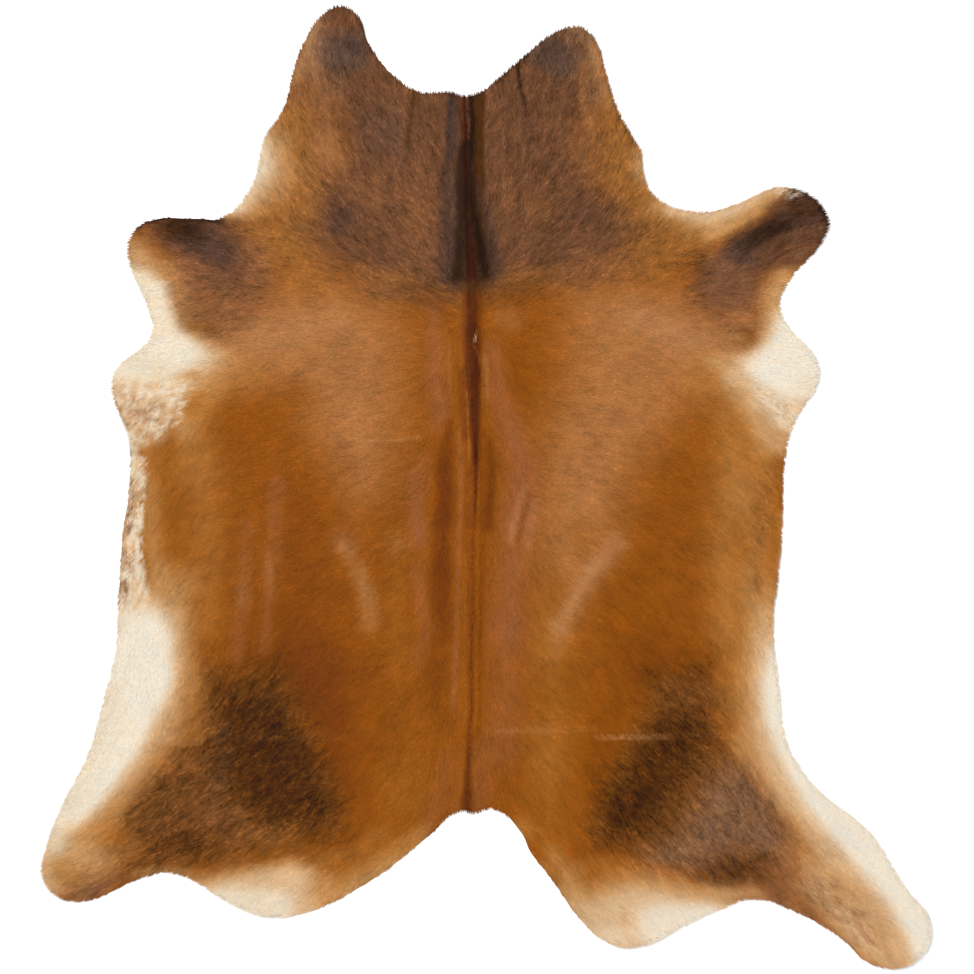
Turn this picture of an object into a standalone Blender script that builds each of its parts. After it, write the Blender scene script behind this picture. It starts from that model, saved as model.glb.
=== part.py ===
"""A whole cowhide rug lying on the floor, hair side up: one dressed hide, trimmed round its neck, legs,
flanks and tail, with the ridge of its backbone, the creases it was folded in and the places where it
lies loose.

Units are metres. X runs to the right of the hide, Y towards its neck and Z up. The origin is on the
floor, under the middle of the hide's box.
"""

import math
from typing import NamedTuple

import bmesh
import bpy
from mathutils import Vector, geometry

# Driving dimensions
THICKNESS = 0.004  # leather with its hair lying flat on it
EDGE_STEPS = 6  # straight steps between two turns of the outline
LATTICE = 0.052  # spacing of the points inside the outline
CLEARANCE = 0.45  # least distance between two points, as a share of the smaller spacing round them
FOLD_STEP = 0.026  # spacing of the points along a fold
FOLD_ROWS = (0.0, -0.5, 0.5, -1.0, 1.0)  # rows of points across a fold, as shares of its reach
FOLD_FADE = 0.060  # length over which a fold dies out at its ends

COAT_COLOUR = (0.34, 0.14, 0.045, 1.0)
COAT_ROUGHNESS = 0.55


class Turn(NamedTuple):
    """One turn of the trimmed edge."""

    right: float
    ahead: float


class Fold(NamedTuple):
    """A ridge or crease along a path of two or more places, highest along its middle."""

    path: tuple
    height: float
    reach: float  # distance to either side at which the fold has died out


class Swell(NamedTuple):
    """An oval place where the hide lies loose and stands off the floor."""

    right: float
    ahead: float
    across: float  # half its width
    along: float  # half its length
    height: float


# The trimmed edge, clockwise from the tip of the left cheek
NECK_CUT = (
    Turn(-0.335, 1.100),
    Turn(-0.290, 1.075),
    Turn(-0.270, 1.020),
    Turn(-0.220, 0.950),
    Turn(-0.155, 0.905),
    Turn(-0.085, 0.905),
    Turn(-0.045, 0.895),
    Turn(0.060, 0.965),
    Turn(0.125, 1.020),
    Turn(0.180, 1.050),
    Turn(0.230, 1.045),
)
RIGHT_NECK = (
    Turn(0.280, 0.925),
    Turn(0.300, 0.865),
    Turn(0.335, 0.800),
    Turn(0.355, 0.765),
    Turn(0.360, 0.715),
    Turn(0.385, 0.665),
)
RIGHT_FORE_LEG = (
    Turn(0.485, 0.630),
    Turn(0.545, 0.640),
    Turn(0.695, 0.685),
    Turn(0.780, 0.615),
    Turn(0.775, 0.575),
    Turn(0.685, 0.460),
    Turn(0.670, 0.410),
)
RIGHT_ELBOW_AND_FLANK = (
    Turn(0.760, 0.265),
    Turn(0.705, 0.150),
    Turn(0.685, 0.085),
    Turn(0.675, -0.110),
    Turn(0.665, -0.215),
    Turn(0.655, -0.295),
    Turn(0.670, -0.465),
    Turn(0.680, -0.560),
    Turn(0.710, -0.630),
)
RIGHT_HIND_LEG = (
    Turn(0.765, -0.695),
    Turn(0.870, -0.780),
    Turn(0.945, -0.895),
    Turn(1.015, -1.010),
    Turn(0.960, -1.090),
    Turn(0.860, -1.080),
    Turn(0.820, -1.040),
    Turn(0.715, -0.975),
    Turn(0.600, -0.940),
    Turn(0.555, -0.955),
    Turn(0.475, -0.990),
    Turn(0.330, -1.050),
    Turn(0.270, -1.035),
    Turn(0.220, -0.995),
)
TAIL_NOTCH = (
    Turn(0.140, -0.885),
    Turn(0.100, -0.835),
    Turn(0.075, -0.785),
    Turn(0.015, -0.735),
    Turn(-0.030, -0.745),
    Turn(-0.060, -0.740),
    Turn(-0.135, -0.800),
    Turn(-0.290, -0.915),
)
LEFT_HIND_LEG = (
    Turn(-0.430, -0.975),
    Turn(-0.505, -0.980),
    Turn(-0.575, -0.955),
    Turn(-0.720, -0.880),
    Turn(-0.780, -0.890),
    Turn(-0.925, -0.945),
    Turn(-0.985, -0.930),
    Turn(-1.015, -0.885),
    Turn(-1.010, -0.835),
    Turn(-0.955, -0.695),
    Turn(-0.915, -0.620),
    Turn(-0.870, -0.465),
    Turn(-0.850, -0.385),
)
LEFT_FLANK_AND_ELBOW = (
    Turn(-0.840, -0.225),
    Turn(-0.835, -0.135),
    Turn(-0.815, 0.050),
    Turn(-0.820, 0.115),
    Turn(-0.855, 0.210),
    Turn(-0.850, 0.265),
    Turn(-0.765, 0.350),
)
LEFT_FORE_LEG = (
    Turn(-0.775, 0.410),
    Turn(-0.820, 0.525),
    Turn(-0.815, 0.570),
    Turn(-0.780, 0.605),
    Turn(-0.660, 0.615),
    Turn(-0.610, 0.615),
)
LEFT_NECK = (
    Turn(-0.540, 0.685),
    Turn(-0.505, 0.805),
    Turn(-0.470, 0.855),
    Turn(-0.430, 0.990),
    Turn(-0.380, 1.075),
)
OUTLINE = (
    NECK_CUT
    + RIGHT_NECK
    + RIGHT_FORE_LEG
    + RIGHT_ELBOW_AND_FLANK
    + RIGHT_HIND_LEG
    + TAIL_NOTCH
    + LEFT_HIND_LEG
    + LEFT_FLANK_AND_ELBOW
    + LEFT_FORE_LEG
    + LEFT_NECK
)

BACKBONE = (
    (-0.049, 0.930),
    (-0.047, 0.620),
    (-0.036, 0.400),
    (-0.026, 0.080),
    (-0.030, -0.300),
    (-0.040, -0.780),
)

FOLDS = {
    "backbone": Fold(BACKBONE, 0.006, 0.028),
    "nape crease, left": Fold(((-0.164, 0.930), (-0.178, 0.740)), 0.003, 0.018),
    "nape crease, right": Fold(((0.078, 1.010), (0.095, 0.800)), 0.003, 0.018),
    "packing crease, left ribs": Fold(((-0.390, 0.106), (-0.120, 0.106)), 0.002, 0.016),
    "packing crease, right ribs": Fold(((0.110, 0.128), (0.330, 0.120)), 0.002, 0.016),
    "packing crease, left rump": Fold(((-0.900, -0.573), (-0.500, -0.578), (-0.110, -0.570)), 0.002, 0.016),
    "packing crease, right rump": Fold(((0.010, -0.563), (0.300, -0.572), (0.640, -0.574)), 0.003, 0.016),
    "wrinkle in the left flank": Fold(((-0.345, -0.090), (-0.310, -0.220), (-0.262, -0.320)), 0.003, 0.026),
    "wrinkle in the right flank": Fold(((0.315, -0.110), (0.235, -0.200), (0.170, -0.310)), 0.003, 0.026),
    "wrinkle by the left ribs": Fold(((-0.495, -0.070), (-0.490, -0.350)), 0.002, 0.020),
}

SWELLS = {
    "left cheek": Swell(-0.335, 1.130, 0.130, 0.160, 0.010),
    "right cheek": Swell(0.215, 1.090, 0.150, 0.150, 0.008),
    "left side of the neck": Swell(-0.560, 0.760, 0.140, 0.170, 0.006),
    "right side of the neck": Swell(0.400, 0.760, 0.130, 0.160, 0.006),
    "left forefoot": Swell(-0.860, 0.580, 0.170, 0.150, 0.009),
    "right forefoot": Swell(0.830, 0.640, 0.180, 0.150, 0.010),
    "left elbow": Swell(-0.900, 0.230, 0.160, 0.150, 0.007),
    "right elbow": Swell(0.800, 0.270, 0.150, 0.140, 0.006),
    "left flank": Swell(-0.880, -0.180, 0.150, 0.200, 0.006),
    "right flank": Swell(0.710, -0.250, 0.140, 0.210, 0.005),
    "left thigh": Swell(-0.600, -1.010, 0.200, 0.140, 0.006),
    "right thigh": Swell(0.330, -1.100, 0.190, 0.160, 0.008),
    "left hind foot": Swell(-1.060, -0.930, 0.170, 0.160, 0.010),
    "right hind foot": Swell(1.010, -1.100, 0.180, 0.170, 0.011),
    "left rump": Swell(-0.330, -0.500, 0.200, 0.150, 0.003),
    "right shoulder": Swell(0.330, 0.470, 0.180, 0.150, 0.003),
}


def clear_scene():
    """Removes every object of the open scene."""
    for old in list(bpy.data.objects):
        bpy.data.objects.remove(old, do_unlink=True)


def trimmed_edge():
    """Returns the points of the edge, along one smooth closed curve through the outline's turns."""
    curve = bpy.data.curves.new("trimmed_edge", "CURVE")
    curve.dimensions = "2D"
    curve.fill_mode = "NONE"
    curve.resolution_u = EDGE_STEPS
    spline = curve.splines.new("BEZIER")
    spline.use_cyclic_u = True
    spline.bezier_points.add(len(OUTLINE) - 1)
    for point, turn in zip(spline.bezier_points, OUTLINE):
        point.co = (turn.right, turn.ahead, 0.0)
        point.handle_left_type = "AUTO"
        point.handle_right_type = "AUTO"
    guide = bpy.data.objects.new("trimmed_edge", curve)
    bpy.context.scene.collection.objects.link(guide)
    outline = bpy.data.meshes.new_from_object(guide.evaluated_get(bpy.context.evaluated_depsgraph_get()))
    points = [vertex.co.xy.copy() for vertex in outline.vertices]
    bpy.data.objects.remove(guide)
    bpy.data.meshes.remove(outline)
    return points


def is_inside(point, edge):
    """Tells whether a point lies inside the closed line of edge points."""
    inside = False
    for start, end in zip(edge, edge[1:] + edge[:1]):
        if (start.y > point.y) != (end.y > point.y):
            crossing = start.x + (point.y - start.y) / (end.y - start.y) * (end.x - start.x)
            if crossing > point.x:
                inside = not inside
    return inside


def fold_runs(fold):
    """Returns the straight runs of a fold's path, as pairs of places."""
    places = [Vector(place) for place in fold.path]
    return list(zip(places, places[1:]))


def fold_points(fold):
    """Returns rows of points along a fold, the crest first."""
    points = []
    for row in FOLD_ROWS:
        for start, end in fold_runs(fold):
            along = (end - start).normalized()
            across = Vector((-along.y, along.x)) * fold.reach * row
            steps = math.ceil((end - start).length / FOLD_STEP)
            points += [start.lerp(end, step / steps) + across for step in range(steps + 1)]
    return points


def lattice_points(edge):
    """Returns the points of a lattice over the whole hide, each second row moved by half a step."""
    lowest = Vector((min(p.x for p in edge), min(p.y for p in edge)))
    highest = Vector((max(p.x for p in edge), max(p.y for p in edge)))
    row_step = LATTICE * math.sqrt(3) / 2
    points = []
    for row in range(math.ceil((highest.y - lowest.y) / row_step)):
        shift = LATTICE / 2 if row % 2 else 0.0
        for column in range(math.ceil((highest.x - lowest.x) / LATTICE)):
            points.append(lowest + Vector((column * LATTICE + shift, row * row_step)))
    return points


def spread_points(edge):
    """Returns the points inside the edge, folds first, leaving out any that crowds one taken before."""
    taken = list(edge)
    inner = []

    def take(candidates, gap):
        for point in candidates:
            if is_inside(point, edge) and all((point - other).length > gap for other in taken):
                taken.append(point)
                inner.append(point)

    for fold in FOLDS.values():
        take(fold_points(fold), min(FOLD_STEP, fold.reach) * CLEARANCE)
    take(lattice_points(edge), LATTICE * CLEARANCE)
    return inner


def fold_lift(fold, place):
    """Returns how far a fold lifts the hide at a place."""
    nearest, to_start, passed = math.inf, 0.0, 0.0
    for start, end in fold_runs(fold):
        run = end - start
        share = min(1.0, max(0.0, (place - start).dot(run) / run.length_squared))
        off = (place - start.lerp(end, share)).length
        if off < nearest:
            nearest, to_start = off, passed + share * run.length
        passed += run.length
    if nearest >= fold.reach:
        return 0.0
    fade = min(1.0, to_start / FOLD_FADE, (passed - to_start) / FOLD_FADE)
    return fold.height * fade * math.cos(nearest / fold.reach * math.pi / 2) ** 2


def swell_lift(swell, place):
    """Returns how far a swell lifts the hide at a place."""
    off = Vector(((place.x - swell.right) / swell.across, (place.y - swell.ahead) / swell.along)).length
    return swell.height * (1.0 - off * off) ** 2 if off < 1.0 else 0.0


def lift(place):
    """Returns the height of the flesh side over the floor at a place, 0 where the hide lies flat."""
    folds = max(fold_lift(fold, place) for fold in FOLDS.values())
    return folds + sum(swell_lift(swell, place) for swell in SWELLS.values())


def flesh_side():
    """Returns a mesh of the hide's flesh side, bent by its folds and swells, facing up."""
    edge = trimmed_edge()
    points = edge + spread_points(edge)
    rim = list(range(len(edge)))
    inside_only = 1
    places, _, faces, *_ = geometry.delaunay_2d_cdt(points, [], [rim[::-1]], inside_only, 1e-6)
    bm = bmesh.new()
    vertices = [bm.verts.new((place.x, place.y, lift(place))) for place in places]
    for face in faces:
        bm.faces.new([vertices[corner] for corner in face])
    bmesh.ops.recalc_face_normals(bm, faces=bm.faces)
    if sum(face.normal.z for face in bm.faces) < 0:
        bmesh.ops.reverse_faces(bm, faces=bm.faces)
    centre_on_floor(bm)
    mesh = bpy.data.meshes.new("hide")
    bm.to_mesh(mesh)
    bm.free()
    return mesh


def centre_on_floor(bm):
    """Moves a mesh sideways until the middle of its box is over the origin."""
    for axis in (0, 1):
        reach = [vertex.co[axis] for vertex in bm.verts]
        middle = (min(reach) + max(reach)) / 2
        for vertex in bm.verts:
            vertex.co[axis] -= middle


def coat_material():
    """Returns the plain finish of the hair side."""
    material = bpy.data.materials.new("coat")
    material.use_nodes = True
    shader = material.node_tree.nodes["Principled BSDF"]
    shader.inputs["Base Color"].default_value = COAT_COLOUR
    shader.inputs["Roughness"].default_value = COAT_ROUGHNESS
    shader.inputs["Metallic"].default_value = 0.0
    return material


def build_hide(collection):
    """Makes the hide: its flesh side, thickened upwards."""
    mesh = flesh_side()
    mesh.materials.append(coat_material())
    hide = bpy.data.objects.new("hide", mesh)
    collection.objects.link(hide)
    solidify = hide.modifiers.new("thickness", "SOLIDIFY")
    solidify.thickness = THICKNESS
    solidify.offset = 1.0
    solidify.use_even_offset = True
    mesh.shade_smooth()
    return hide


def main():
    """Builds the rug in a collection of its own."""
    clear_scene()
    collection = bpy.data.collections.new("cowhide_rug")
    bpy.context.scene.collection.children.link(collection)
    build_hide(collection)


main()
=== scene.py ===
"""Cowhide rug: a dressed hide with its hair on, lying flat, seen from straight above.

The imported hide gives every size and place. The sheet of leather follows its folds, the coat is made
of combed locks rooted in that sheet, and one chart of markings colours both.
"""
import logging
import math
from dataclasses import dataclass, field
from enum import Enum, IntEnum
from typing import NamedTuple

import bmesh
import bpy
import numpy as np
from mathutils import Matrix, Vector
from mathutils.bvhtree import BVHTree
from mathutils.geometry import delaunay_2d_cdt


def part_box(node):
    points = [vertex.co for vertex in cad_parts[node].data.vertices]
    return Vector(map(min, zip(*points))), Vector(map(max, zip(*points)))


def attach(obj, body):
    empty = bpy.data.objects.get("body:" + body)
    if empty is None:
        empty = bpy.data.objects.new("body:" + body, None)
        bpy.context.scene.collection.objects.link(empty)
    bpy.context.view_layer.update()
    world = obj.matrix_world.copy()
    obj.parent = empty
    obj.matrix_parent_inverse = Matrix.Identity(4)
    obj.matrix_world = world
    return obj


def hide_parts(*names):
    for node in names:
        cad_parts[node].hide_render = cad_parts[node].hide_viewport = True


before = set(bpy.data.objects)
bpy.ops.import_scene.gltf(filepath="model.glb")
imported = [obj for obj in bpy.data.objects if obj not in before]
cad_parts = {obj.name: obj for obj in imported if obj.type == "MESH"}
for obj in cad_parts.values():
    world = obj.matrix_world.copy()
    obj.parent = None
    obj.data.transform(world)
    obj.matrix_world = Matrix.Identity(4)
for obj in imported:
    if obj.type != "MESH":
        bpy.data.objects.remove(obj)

LOG = logging.getLogger("cowhide_rug")
NODE = "hide"
BODY = "root"
BAKE_MAP = "OFBake"

# Rows of even triangles lie this share of a side apart.
ROW_SHARE = math.sqrt(0.75)
# Keeps a number from being divided by nought.
TINY = 1e-6
# The tables of markings, combing and creases are in millimetres, and the hide is in metres.
MILLIMETRES = 1000.0

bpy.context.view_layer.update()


class Seed(IntEnum):
    """The seeds of the noises and draws; MIXING and CLOUDS are each the first of two."""

    DRIFT_RIGHT = 11
    DRIFT_AHEAD = 12
    FLECKS = 13
    RIPPLE = 31
    NIBBLE = 41
    FACE_POINTS = 51
    SOLE_POINTS = 52
    LOCKS = 61
    MIXING = 62
    SWIRL = 64
    CLOUDS = 65
    WARMTH = 69
    LUMPS = 71


class Shade(NamedTuple):
    """One colour of the hair as the eye reads it, from 0 to 255, and how mottled its locks are."""

    red: int
    green: int
    blue: int
    grain: float

    def code(self) -> np.ndarray:
        """The colour as the eye steps through it, from 0 to 1."""
        return np.array([self.red, self.green, self.blue]) / 255.0


class Hair(Enum):
    """The colours that grow on this hide, and two rosy ones that paint its sheen, as the markings use
    them.
    """

    CREAM = Shade(242, 229, 208, 0.10)
    IVORY = Shade(237, 219, 192, 0.18)
    SAND = Shade(224, 186, 144, 0.35)
    WHEAT = Shade(206, 160, 112, 0.45)
    FAWN = Shade(198, 146, 90, 0.50)
    HONEY = Shade(178, 118, 58, 0.50)
    AMBER = Shade(158, 93, 30, 0.50)
    RUSSET = Shade(147, 81, 24, 0.50)
    COPPER = Shade(135, 70, 11, 0.50)
    CHESTNUT = Shade(114, 57, 6, 0.50)
    TAN = Shade(174, 115, 67, 0.60)
    # The next two paint the hair's sheen: rosy light where the lying hair catches the light.
    ROSE_SHEEN = Shade(157, 94, 56, 0.45)
    BLUSH_SHEEN = Shade(184, 128, 82, 0.40)
    OCHRE = Shade(152, 98, 48, 1.20)
    COCOA = Shade(134, 86, 54, 1.30)
    UMBER = Shade(106, 70, 49, 1.60)
    SLATE = Shade(94, 70, 58, 1.60)
    ASH = Shade(130, 93, 68, 1.60)
    DUSK = Shade(76, 54, 46, 1.50)
    TAUPE = Shade(126, 84, 58, 0.90)
    BARK = Shade(104, 64, 33, 2.20)
    WALNUT = Shade(76, 45, 20, 0.90)
    PEAT = Shade(66, 35, 10, 2.40)
    SOOT = Shade(44, 25, 16, 1.20)
    MAROON = Shade(60, 22, 6, 0.60)


def linear(code: np.ndarray) -> np.ndarray:
    """Turns colours as the eye steps through them, from 0 to 1, into linear light."""
    return np.where(code <= 0.04045, code / 12.92, ((code + 0.055) / 1.055) ** 2.4)


def ease(x: np.ndarray) -> np.ndarray:
    """Fades from 0 to 1 as x goes from 0 to 1, with level ends."""
    x = np.clip(x, 0.0, 1.0)
    return x * x * (3.0 - 2.0 * x)


@dataclass
class Mottle:
    """Soft seeded noise over the floor plane, between -1 and 1."""

    seed: int
    grid: int = 256
    shift: tuple = (0.37, 0.61)
    lattice: np.ndarray = field(init=False, repr=False)

    def __post_init__(self) -> None:
        """Draws the lattice that every reading blends."""
        self.lattice = np.random.default_rng(self.seed).uniform(-1.0, 1.0, (self.grid, self.grid))

    def at(self, right: np.ndarray, ahead: np.ndarray, size: float) -> np.ndarray:
        """Reads the noise.

        Args:
            right: places along X.
            ahead: places along Y.
            size: the distance between two lattice points, in the unit of the places.

        Returns:
            One value for each place.
        """
        u = right / size + self.shift[0] * self.grid
        v = ahead / size + self.shift[1] * self.grid
        column = np.floor(u).astype(int)
        row = np.floor(v).astype(int)
        s = ease(u - column)
        t = ease(v - row)
        c0, c1 = column % self.grid, (column + 1) % self.grid
        r0, r1 = row % self.grid, (row + 1) % self.grid
        near = self.lattice[r0, c0] * (1 - s) + self.lattice[r0, c1] * s
        far = self.lattice[r1, c0] * (1 - s) + self.lattice[r1, c1] * s
        return near * (1 - t) + far * t


def along_segments(places: np.ndarray, path: np.ndarray) -> tuple[np.ndarray, np.ndarray]:
    """Measures places against a broken line.

    Args:
        places: an N by 2 array of right and ahead.
        path: the line's turns, an M by 2 array.

    Returns:
        The distance to the line, and how far along it the nearest point lies, from 0 to 1.
    """
    runs = np.diff(path, axis=0)
    lengths = np.hypot(runs[:, 0], runs[:, 1])
    before = np.concatenate([[0.0], np.cumsum(lengths)])
    best = np.full(len(places), np.inf)
    share = np.zeros(len(places))
    for start, run, length, gone in zip(path[:-1], runs, lengths, before):
        if length == 0.0:
            continue
        away = places - start
        t = np.clip((away @ run) / length**2, 0.0, 1.0)
        gap = np.hypot(away[:, 0] - t * run[0], away[:, 1] - t * run[1])
        closer = gap < best
        best = np.where(closer, gap, best)
        share = np.where(closer, (gone + t * length) / before[-1], share)
    return best, share


def inside(places: np.ndarray, corners: np.ndarray) -> np.ndarray:
    """Tells which places lie within a closed outline, by counting the sides to their right."""
    within = np.zeros(len(places), bool)
    for (x0, y0), (x1, y1) in zip(corners, np.roll(corners, -1, axis=0)):
        if y0 == y1:
            continue
        spans = (places[:, 1] < y0) != (places[:, 1] < y1)
        cross = x0 + (places[:, 1] - y0) * (x1 - x0) / (y1 - y0)
        within ^= spans & (places[:, 0] < cross)
    return within


class Patch(NamedTuple):
    """An area of one colour, inside an outline whose edge fades over blur."""

    hair: Hair
    strength: float
    blur: float
    stray: float
    corners: tuple

    def reach(self) -> float:
        """How far outside its corners the patch still colours the coat."""
        return 0.5 * self.blur + self.stray

    def points(self) -> tuple:
        """The points that its box is taken from."""
        return self.corners

    def cover(self, places: np.ndarray, flecks: np.ndarray) -> np.ndarray:
        """How fully the patch covers each place.

        Args:
            places: an N by 2 array of right and ahead, in millimetres.
            flecks: fine noise at the places, which carries stray hairs over the edge.

        Returns:
            A value from 0 to 1 for each place.
        """
        corners = np.array(self.corners)
        gap, _ = along_segments(places, np.vstack([corners, corners[:1]]))
        depth = np.where(inside(places, corners), gap, -gap) + self.stray * flecks
        return ease(depth / self.blur + 0.5)


class Stroke(NamedTuple):
    """A band of one colour along a path, its half width going from half to last."""

    hair: Hair
    strength: float
    half: float
    last: float
    blur: float
    stray: float
    path: tuple

    def reach(self) -> float:
        """How far outside its path the stroke still colours the coat."""
        return max(self.half, self.last) + 0.5 * self.blur + self.stray

    def points(self) -> tuple:
        """The points that its box is taken from."""
        return self.path

    def cover(self, places: np.ndarray, flecks: np.ndarray) -> np.ndarray:
        """How fully the stroke covers each place.

        Args:
            places: an N by 2 array of right and ahead, in millimetres.
            flecks: fine noise at the places, which carries stray hairs over the edge.

        Returns:
            A value from 0 to 1 for each place.
        """
        gap, share = along_segments(places, np.array(self.path))
        half = self.half + (self.last - self.half) * share
        return ease((half - gap + self.stray * flecks) / self.blur + 0.5)


class Dab(NamedTuple):
    """A soft oval of one colour, strongest in its middle."""

    hair: Hair
    strength: float
    right: float
    ahead: float
    across: float
    along: float
    turn: float
    stray: float

    def reach(self) -> float:
        """How far from its middle the dab still colours the coat."""
        return max(self.across, self.along) + self.stray

    def points(self) -> tuple:
        """The point that its box is taken from."""
        return ((self.right, self.ahead),)

    def cover(self, places: np.ndarray, flecks: np.ndarray) -> np.ndarray:
        """How fully the dab covers each place.

        Args:
            places: an N by 2 array of right and ahead, in millimetres.
            flecks: fine noise at the places, which carries stray hairs over the edge.

        Returns:
            A value from 0 to 1 for each place.
        """
        turn = math.radians(self.turn)
        x, y = (places - np.array([self.right, self.ahead])).T
        u = (x * math.cos(turn) + y * math.sin(turn)) / self.across
        v = (y * math.cos(turn) - x * math.sin(turn)) / self.along
        radius = np.hypot(u, v) - self.stray * flecks / min(self.across, self.along)
        return ease(1.0 - radius)


# How much the fine noise frays a speckle's flecks, how far the noise spreads about its middle, and
# over how much of it a fleck's edge fades.
FLECK_FRAY = 0.25
FLECK_SPREAD = 0.6
FLECK_EDGE = 0.5


class Speckle(NamedTuple):
    """Broken flecks of one colour inside an outline, as where two coats mix."""

    hair: Hair
    strength: float
    blur: float
    across: float
    along: float
    turn: float
    share: float
    corners: tuple

    def reach(self) -> float:
        """How far outside its corners the speckle still colours the coat."""
        return 0.5 * self.blur

    def points(self) -> tuple:
        """The points that its box is taken from."""
        return self.corners

    def cover(self, places: np.ndarray, flecks: np.ndarray) -> np.ndarray:
        """How fully the flecks cover each place.

        Args:
            places: an N by 2 array of right and ahead, in millimetres.
            flecks: fine noise at the places, which breaks the flecks up.

        Returns:
            A value from 0 to 1 for each place.
        """
        corners = np.array(self.corners)
        gap, _ = along_segments(places, np.vstack([corners, corners[:1]]))
        field_share = ease(np.where(inside(places, corners), gap, -gap) / self.blur + 0.5)
        turn = math.radians(self.turn)
        u = places[:, 0] * math.cos(turn) + places[:, 1] * math.sin(turn)
        v = places[:, 1] * math.cos(turn) - places[:, 0] * math.sin(turn)
        lumps = Mottle(Seed.LUMPS).at(u * self.along / self.across, v, self.along)
        lumps = lumps + FLECK_FRAY * flecks
        level = 1.0 - 2.0 * self.share * field_share
        return field_share * ease((lumps - level * FLECK_SPREAD) / FLECK_EDGE + 0.5)


# The marks below are painted in order, each over those before it. Their values are those of their
# class, in its order: places and lengths in millimetres from the middle of the hide, turns in degrees
# to the left. H stands for Hair.
H = Hair

# The barrel: paler saddles beside the back, a warm middle and lighter flanks.
BARREL = (
    Patch(H.TAN, 0.9, 180, 0, (
        (-680, 400), (-520, 460), (-340, 470), (-230, 420), (-190, 340), (-200, 160), (-230, 0),
        (-300, -40), (-380, 100), (-440, 220), (-580, 250),
    )),
    Patch(H.TAN, 0.9, 180, 0, (
        (190, 460), (340, 480), (480, 430), (620, 380), (580, 270), (460, 200), (340, 40), (280, -140),
        (200, -260), (120, -160), (120, 60), (190, 260),
    )),
    # Bands of painted sheen over the shoulders.
    Stroke(H.BLUSH_SHEEN, 0.6, 20, 40, 100, 0, ((-340, 380), (-480, 345), (-580, 310))),
    Stroke(H.BLUSH_SHEEN, 0.9, 20, 40, 100, 0, ((340, 390), (440, 345), (540, 310))),
    Stroke(H.HONEY, 0.85, 20, 35, 110, 0, ((-540, 260), (-630, 220), (-680, 140), (-690, 40))),
    Stroke(H.HONEY, 0.95, 40, 50, 140, 0, (
        (520, 260), (600, 140), (620, 0), (620, -140), (610, -300), (590, -440),
    )),
    Stroke(H.FAWN, 0.75, 12, 26, 70, 0, ((605, -200), (610, -340), (600, -460))),
    Stroke(H.FAWN, 0.6, 12, 20, 60, 0, ((550, 260), (610, 170), (640, 90))),
    Stroke(H.AMBER, 0.75, 10, 20, 60, 0, ((675, 40), (668, -50), (672, -140))),
    Stroke(H.HONEY, 0.9, 26, 30, 70, 0, ((-780, 100), (-770, 0), (-765, -100), (-750, -200))),
    Stroke(H.AMBER, 0.7, 26, 26, 80, 0, ((-720, 60), (-700, -60), (-700, -160))),
    Stroke(H.FAWN, 0.9, 16, 28, 80, 0, ((-730, -190), (-700, -300), (-700, -420), (-725, -520))),
    Patch(H.COPPER, 0.75, 200, 0, (
        (-500, 20), (-420, 20), (-360, -100), (-310, -260), (-280, -440), (-270, -660), (-280, -800),
        (-400, -800), (-520, -600), (-560, -360), (-520, -200),
    )),
    Dab(H.CHESTNUT, 0.85, -440, -440, 200, 200, 0, 0),
    Dab(H.CHESTNUT, 0.6, -360, -600, 100, 220, 0, 0),
    Dab(H.COPPER, 0.3, 340, -280, 120, 240, 0, 0),
    Stroke(H.HONEY, 0.6, 30, 30, 100, 0, ((550, 140), (540, 0), (530, -160), (540, -340))),
    Stroke(H.HONEY, 0.55, 30, 30, 90, 0, ((-660, 200), (-645, 50), (-635, -150), (-645, -320))),
    Dab(H.CHESTNUT, 0.6, 400, -430, 160, 160, 0, 0),
    Dab(H.COPPER, 0.7, 270, -620, 100, 240, 0, 0),
    Stroke(H.AMBER, 0.75, 30, 50, 120, 0, ((170, -260), (170, -440), (160, -620), (130, -780))),
    Stroke(H.TAN, 0.4, 16, 20, 70, 0, ((235, -80), (215, -200), (180, -340))),
    Dab(H.AMBER, 0.75, -180, -690, 110, 130, 0, 0),
    Dab(H.COPPER, 0.65, 50, 260, 70, 130, 0, 0),
    Dab(H.TAN, 0.5, 50, 385, 60, 50, 0, 0),
    Dab(H.HONEY, 0.45, 135, -340, 70, 200, 0, 0),
    Dab(H.HONEY, 0.35, 135, -600, 70, 160, 0, 0),
    Stroke(H.AMBER, 0.55, 16, 24, 60, 0, ((-205, -120), (-205, -280), (-200, -420))),
    Dab(H.FAWN, 0.4, 575, -20, 50, 90, 0, 0),
    Dab(H.AMBER, 0.5, 220, -120, 60, 80, 0, 0),
    Dab(H.FAWN, 0.6, -685, -220, 50, 70, 0, 0),
    Dab(H.FAWN, 0.7, -690, 135, 50, 50, 0, 0),
    Dab(H.AMBER, 0.7, -700, -465, 40, 50, 0, 0),
    Dab(H.AMBER, 0.7, 625, -65, 30, 50, 0, 0),
    Dab(H.AMBER, 0.5, 565, -480, 40, 60, 0, 0),
    Dab(H.AMBER, 0.6, -185, -815, 50, 30, 0, 0),
    Dab(H.HONEY, 0.6, 215, -870, 50, 40, 0, 0),
    Stroke(H.FAWN, 0.9, 8, 10, 24, 0, ((680, -70), (676, -200))),
    Dab(H.COPPER, 0.45, -550, 130, 130, 90, 0, 0),
    Dab(H.COPPER, 0.35, -440, 200, 100, 60, 0, 0),
)
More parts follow.
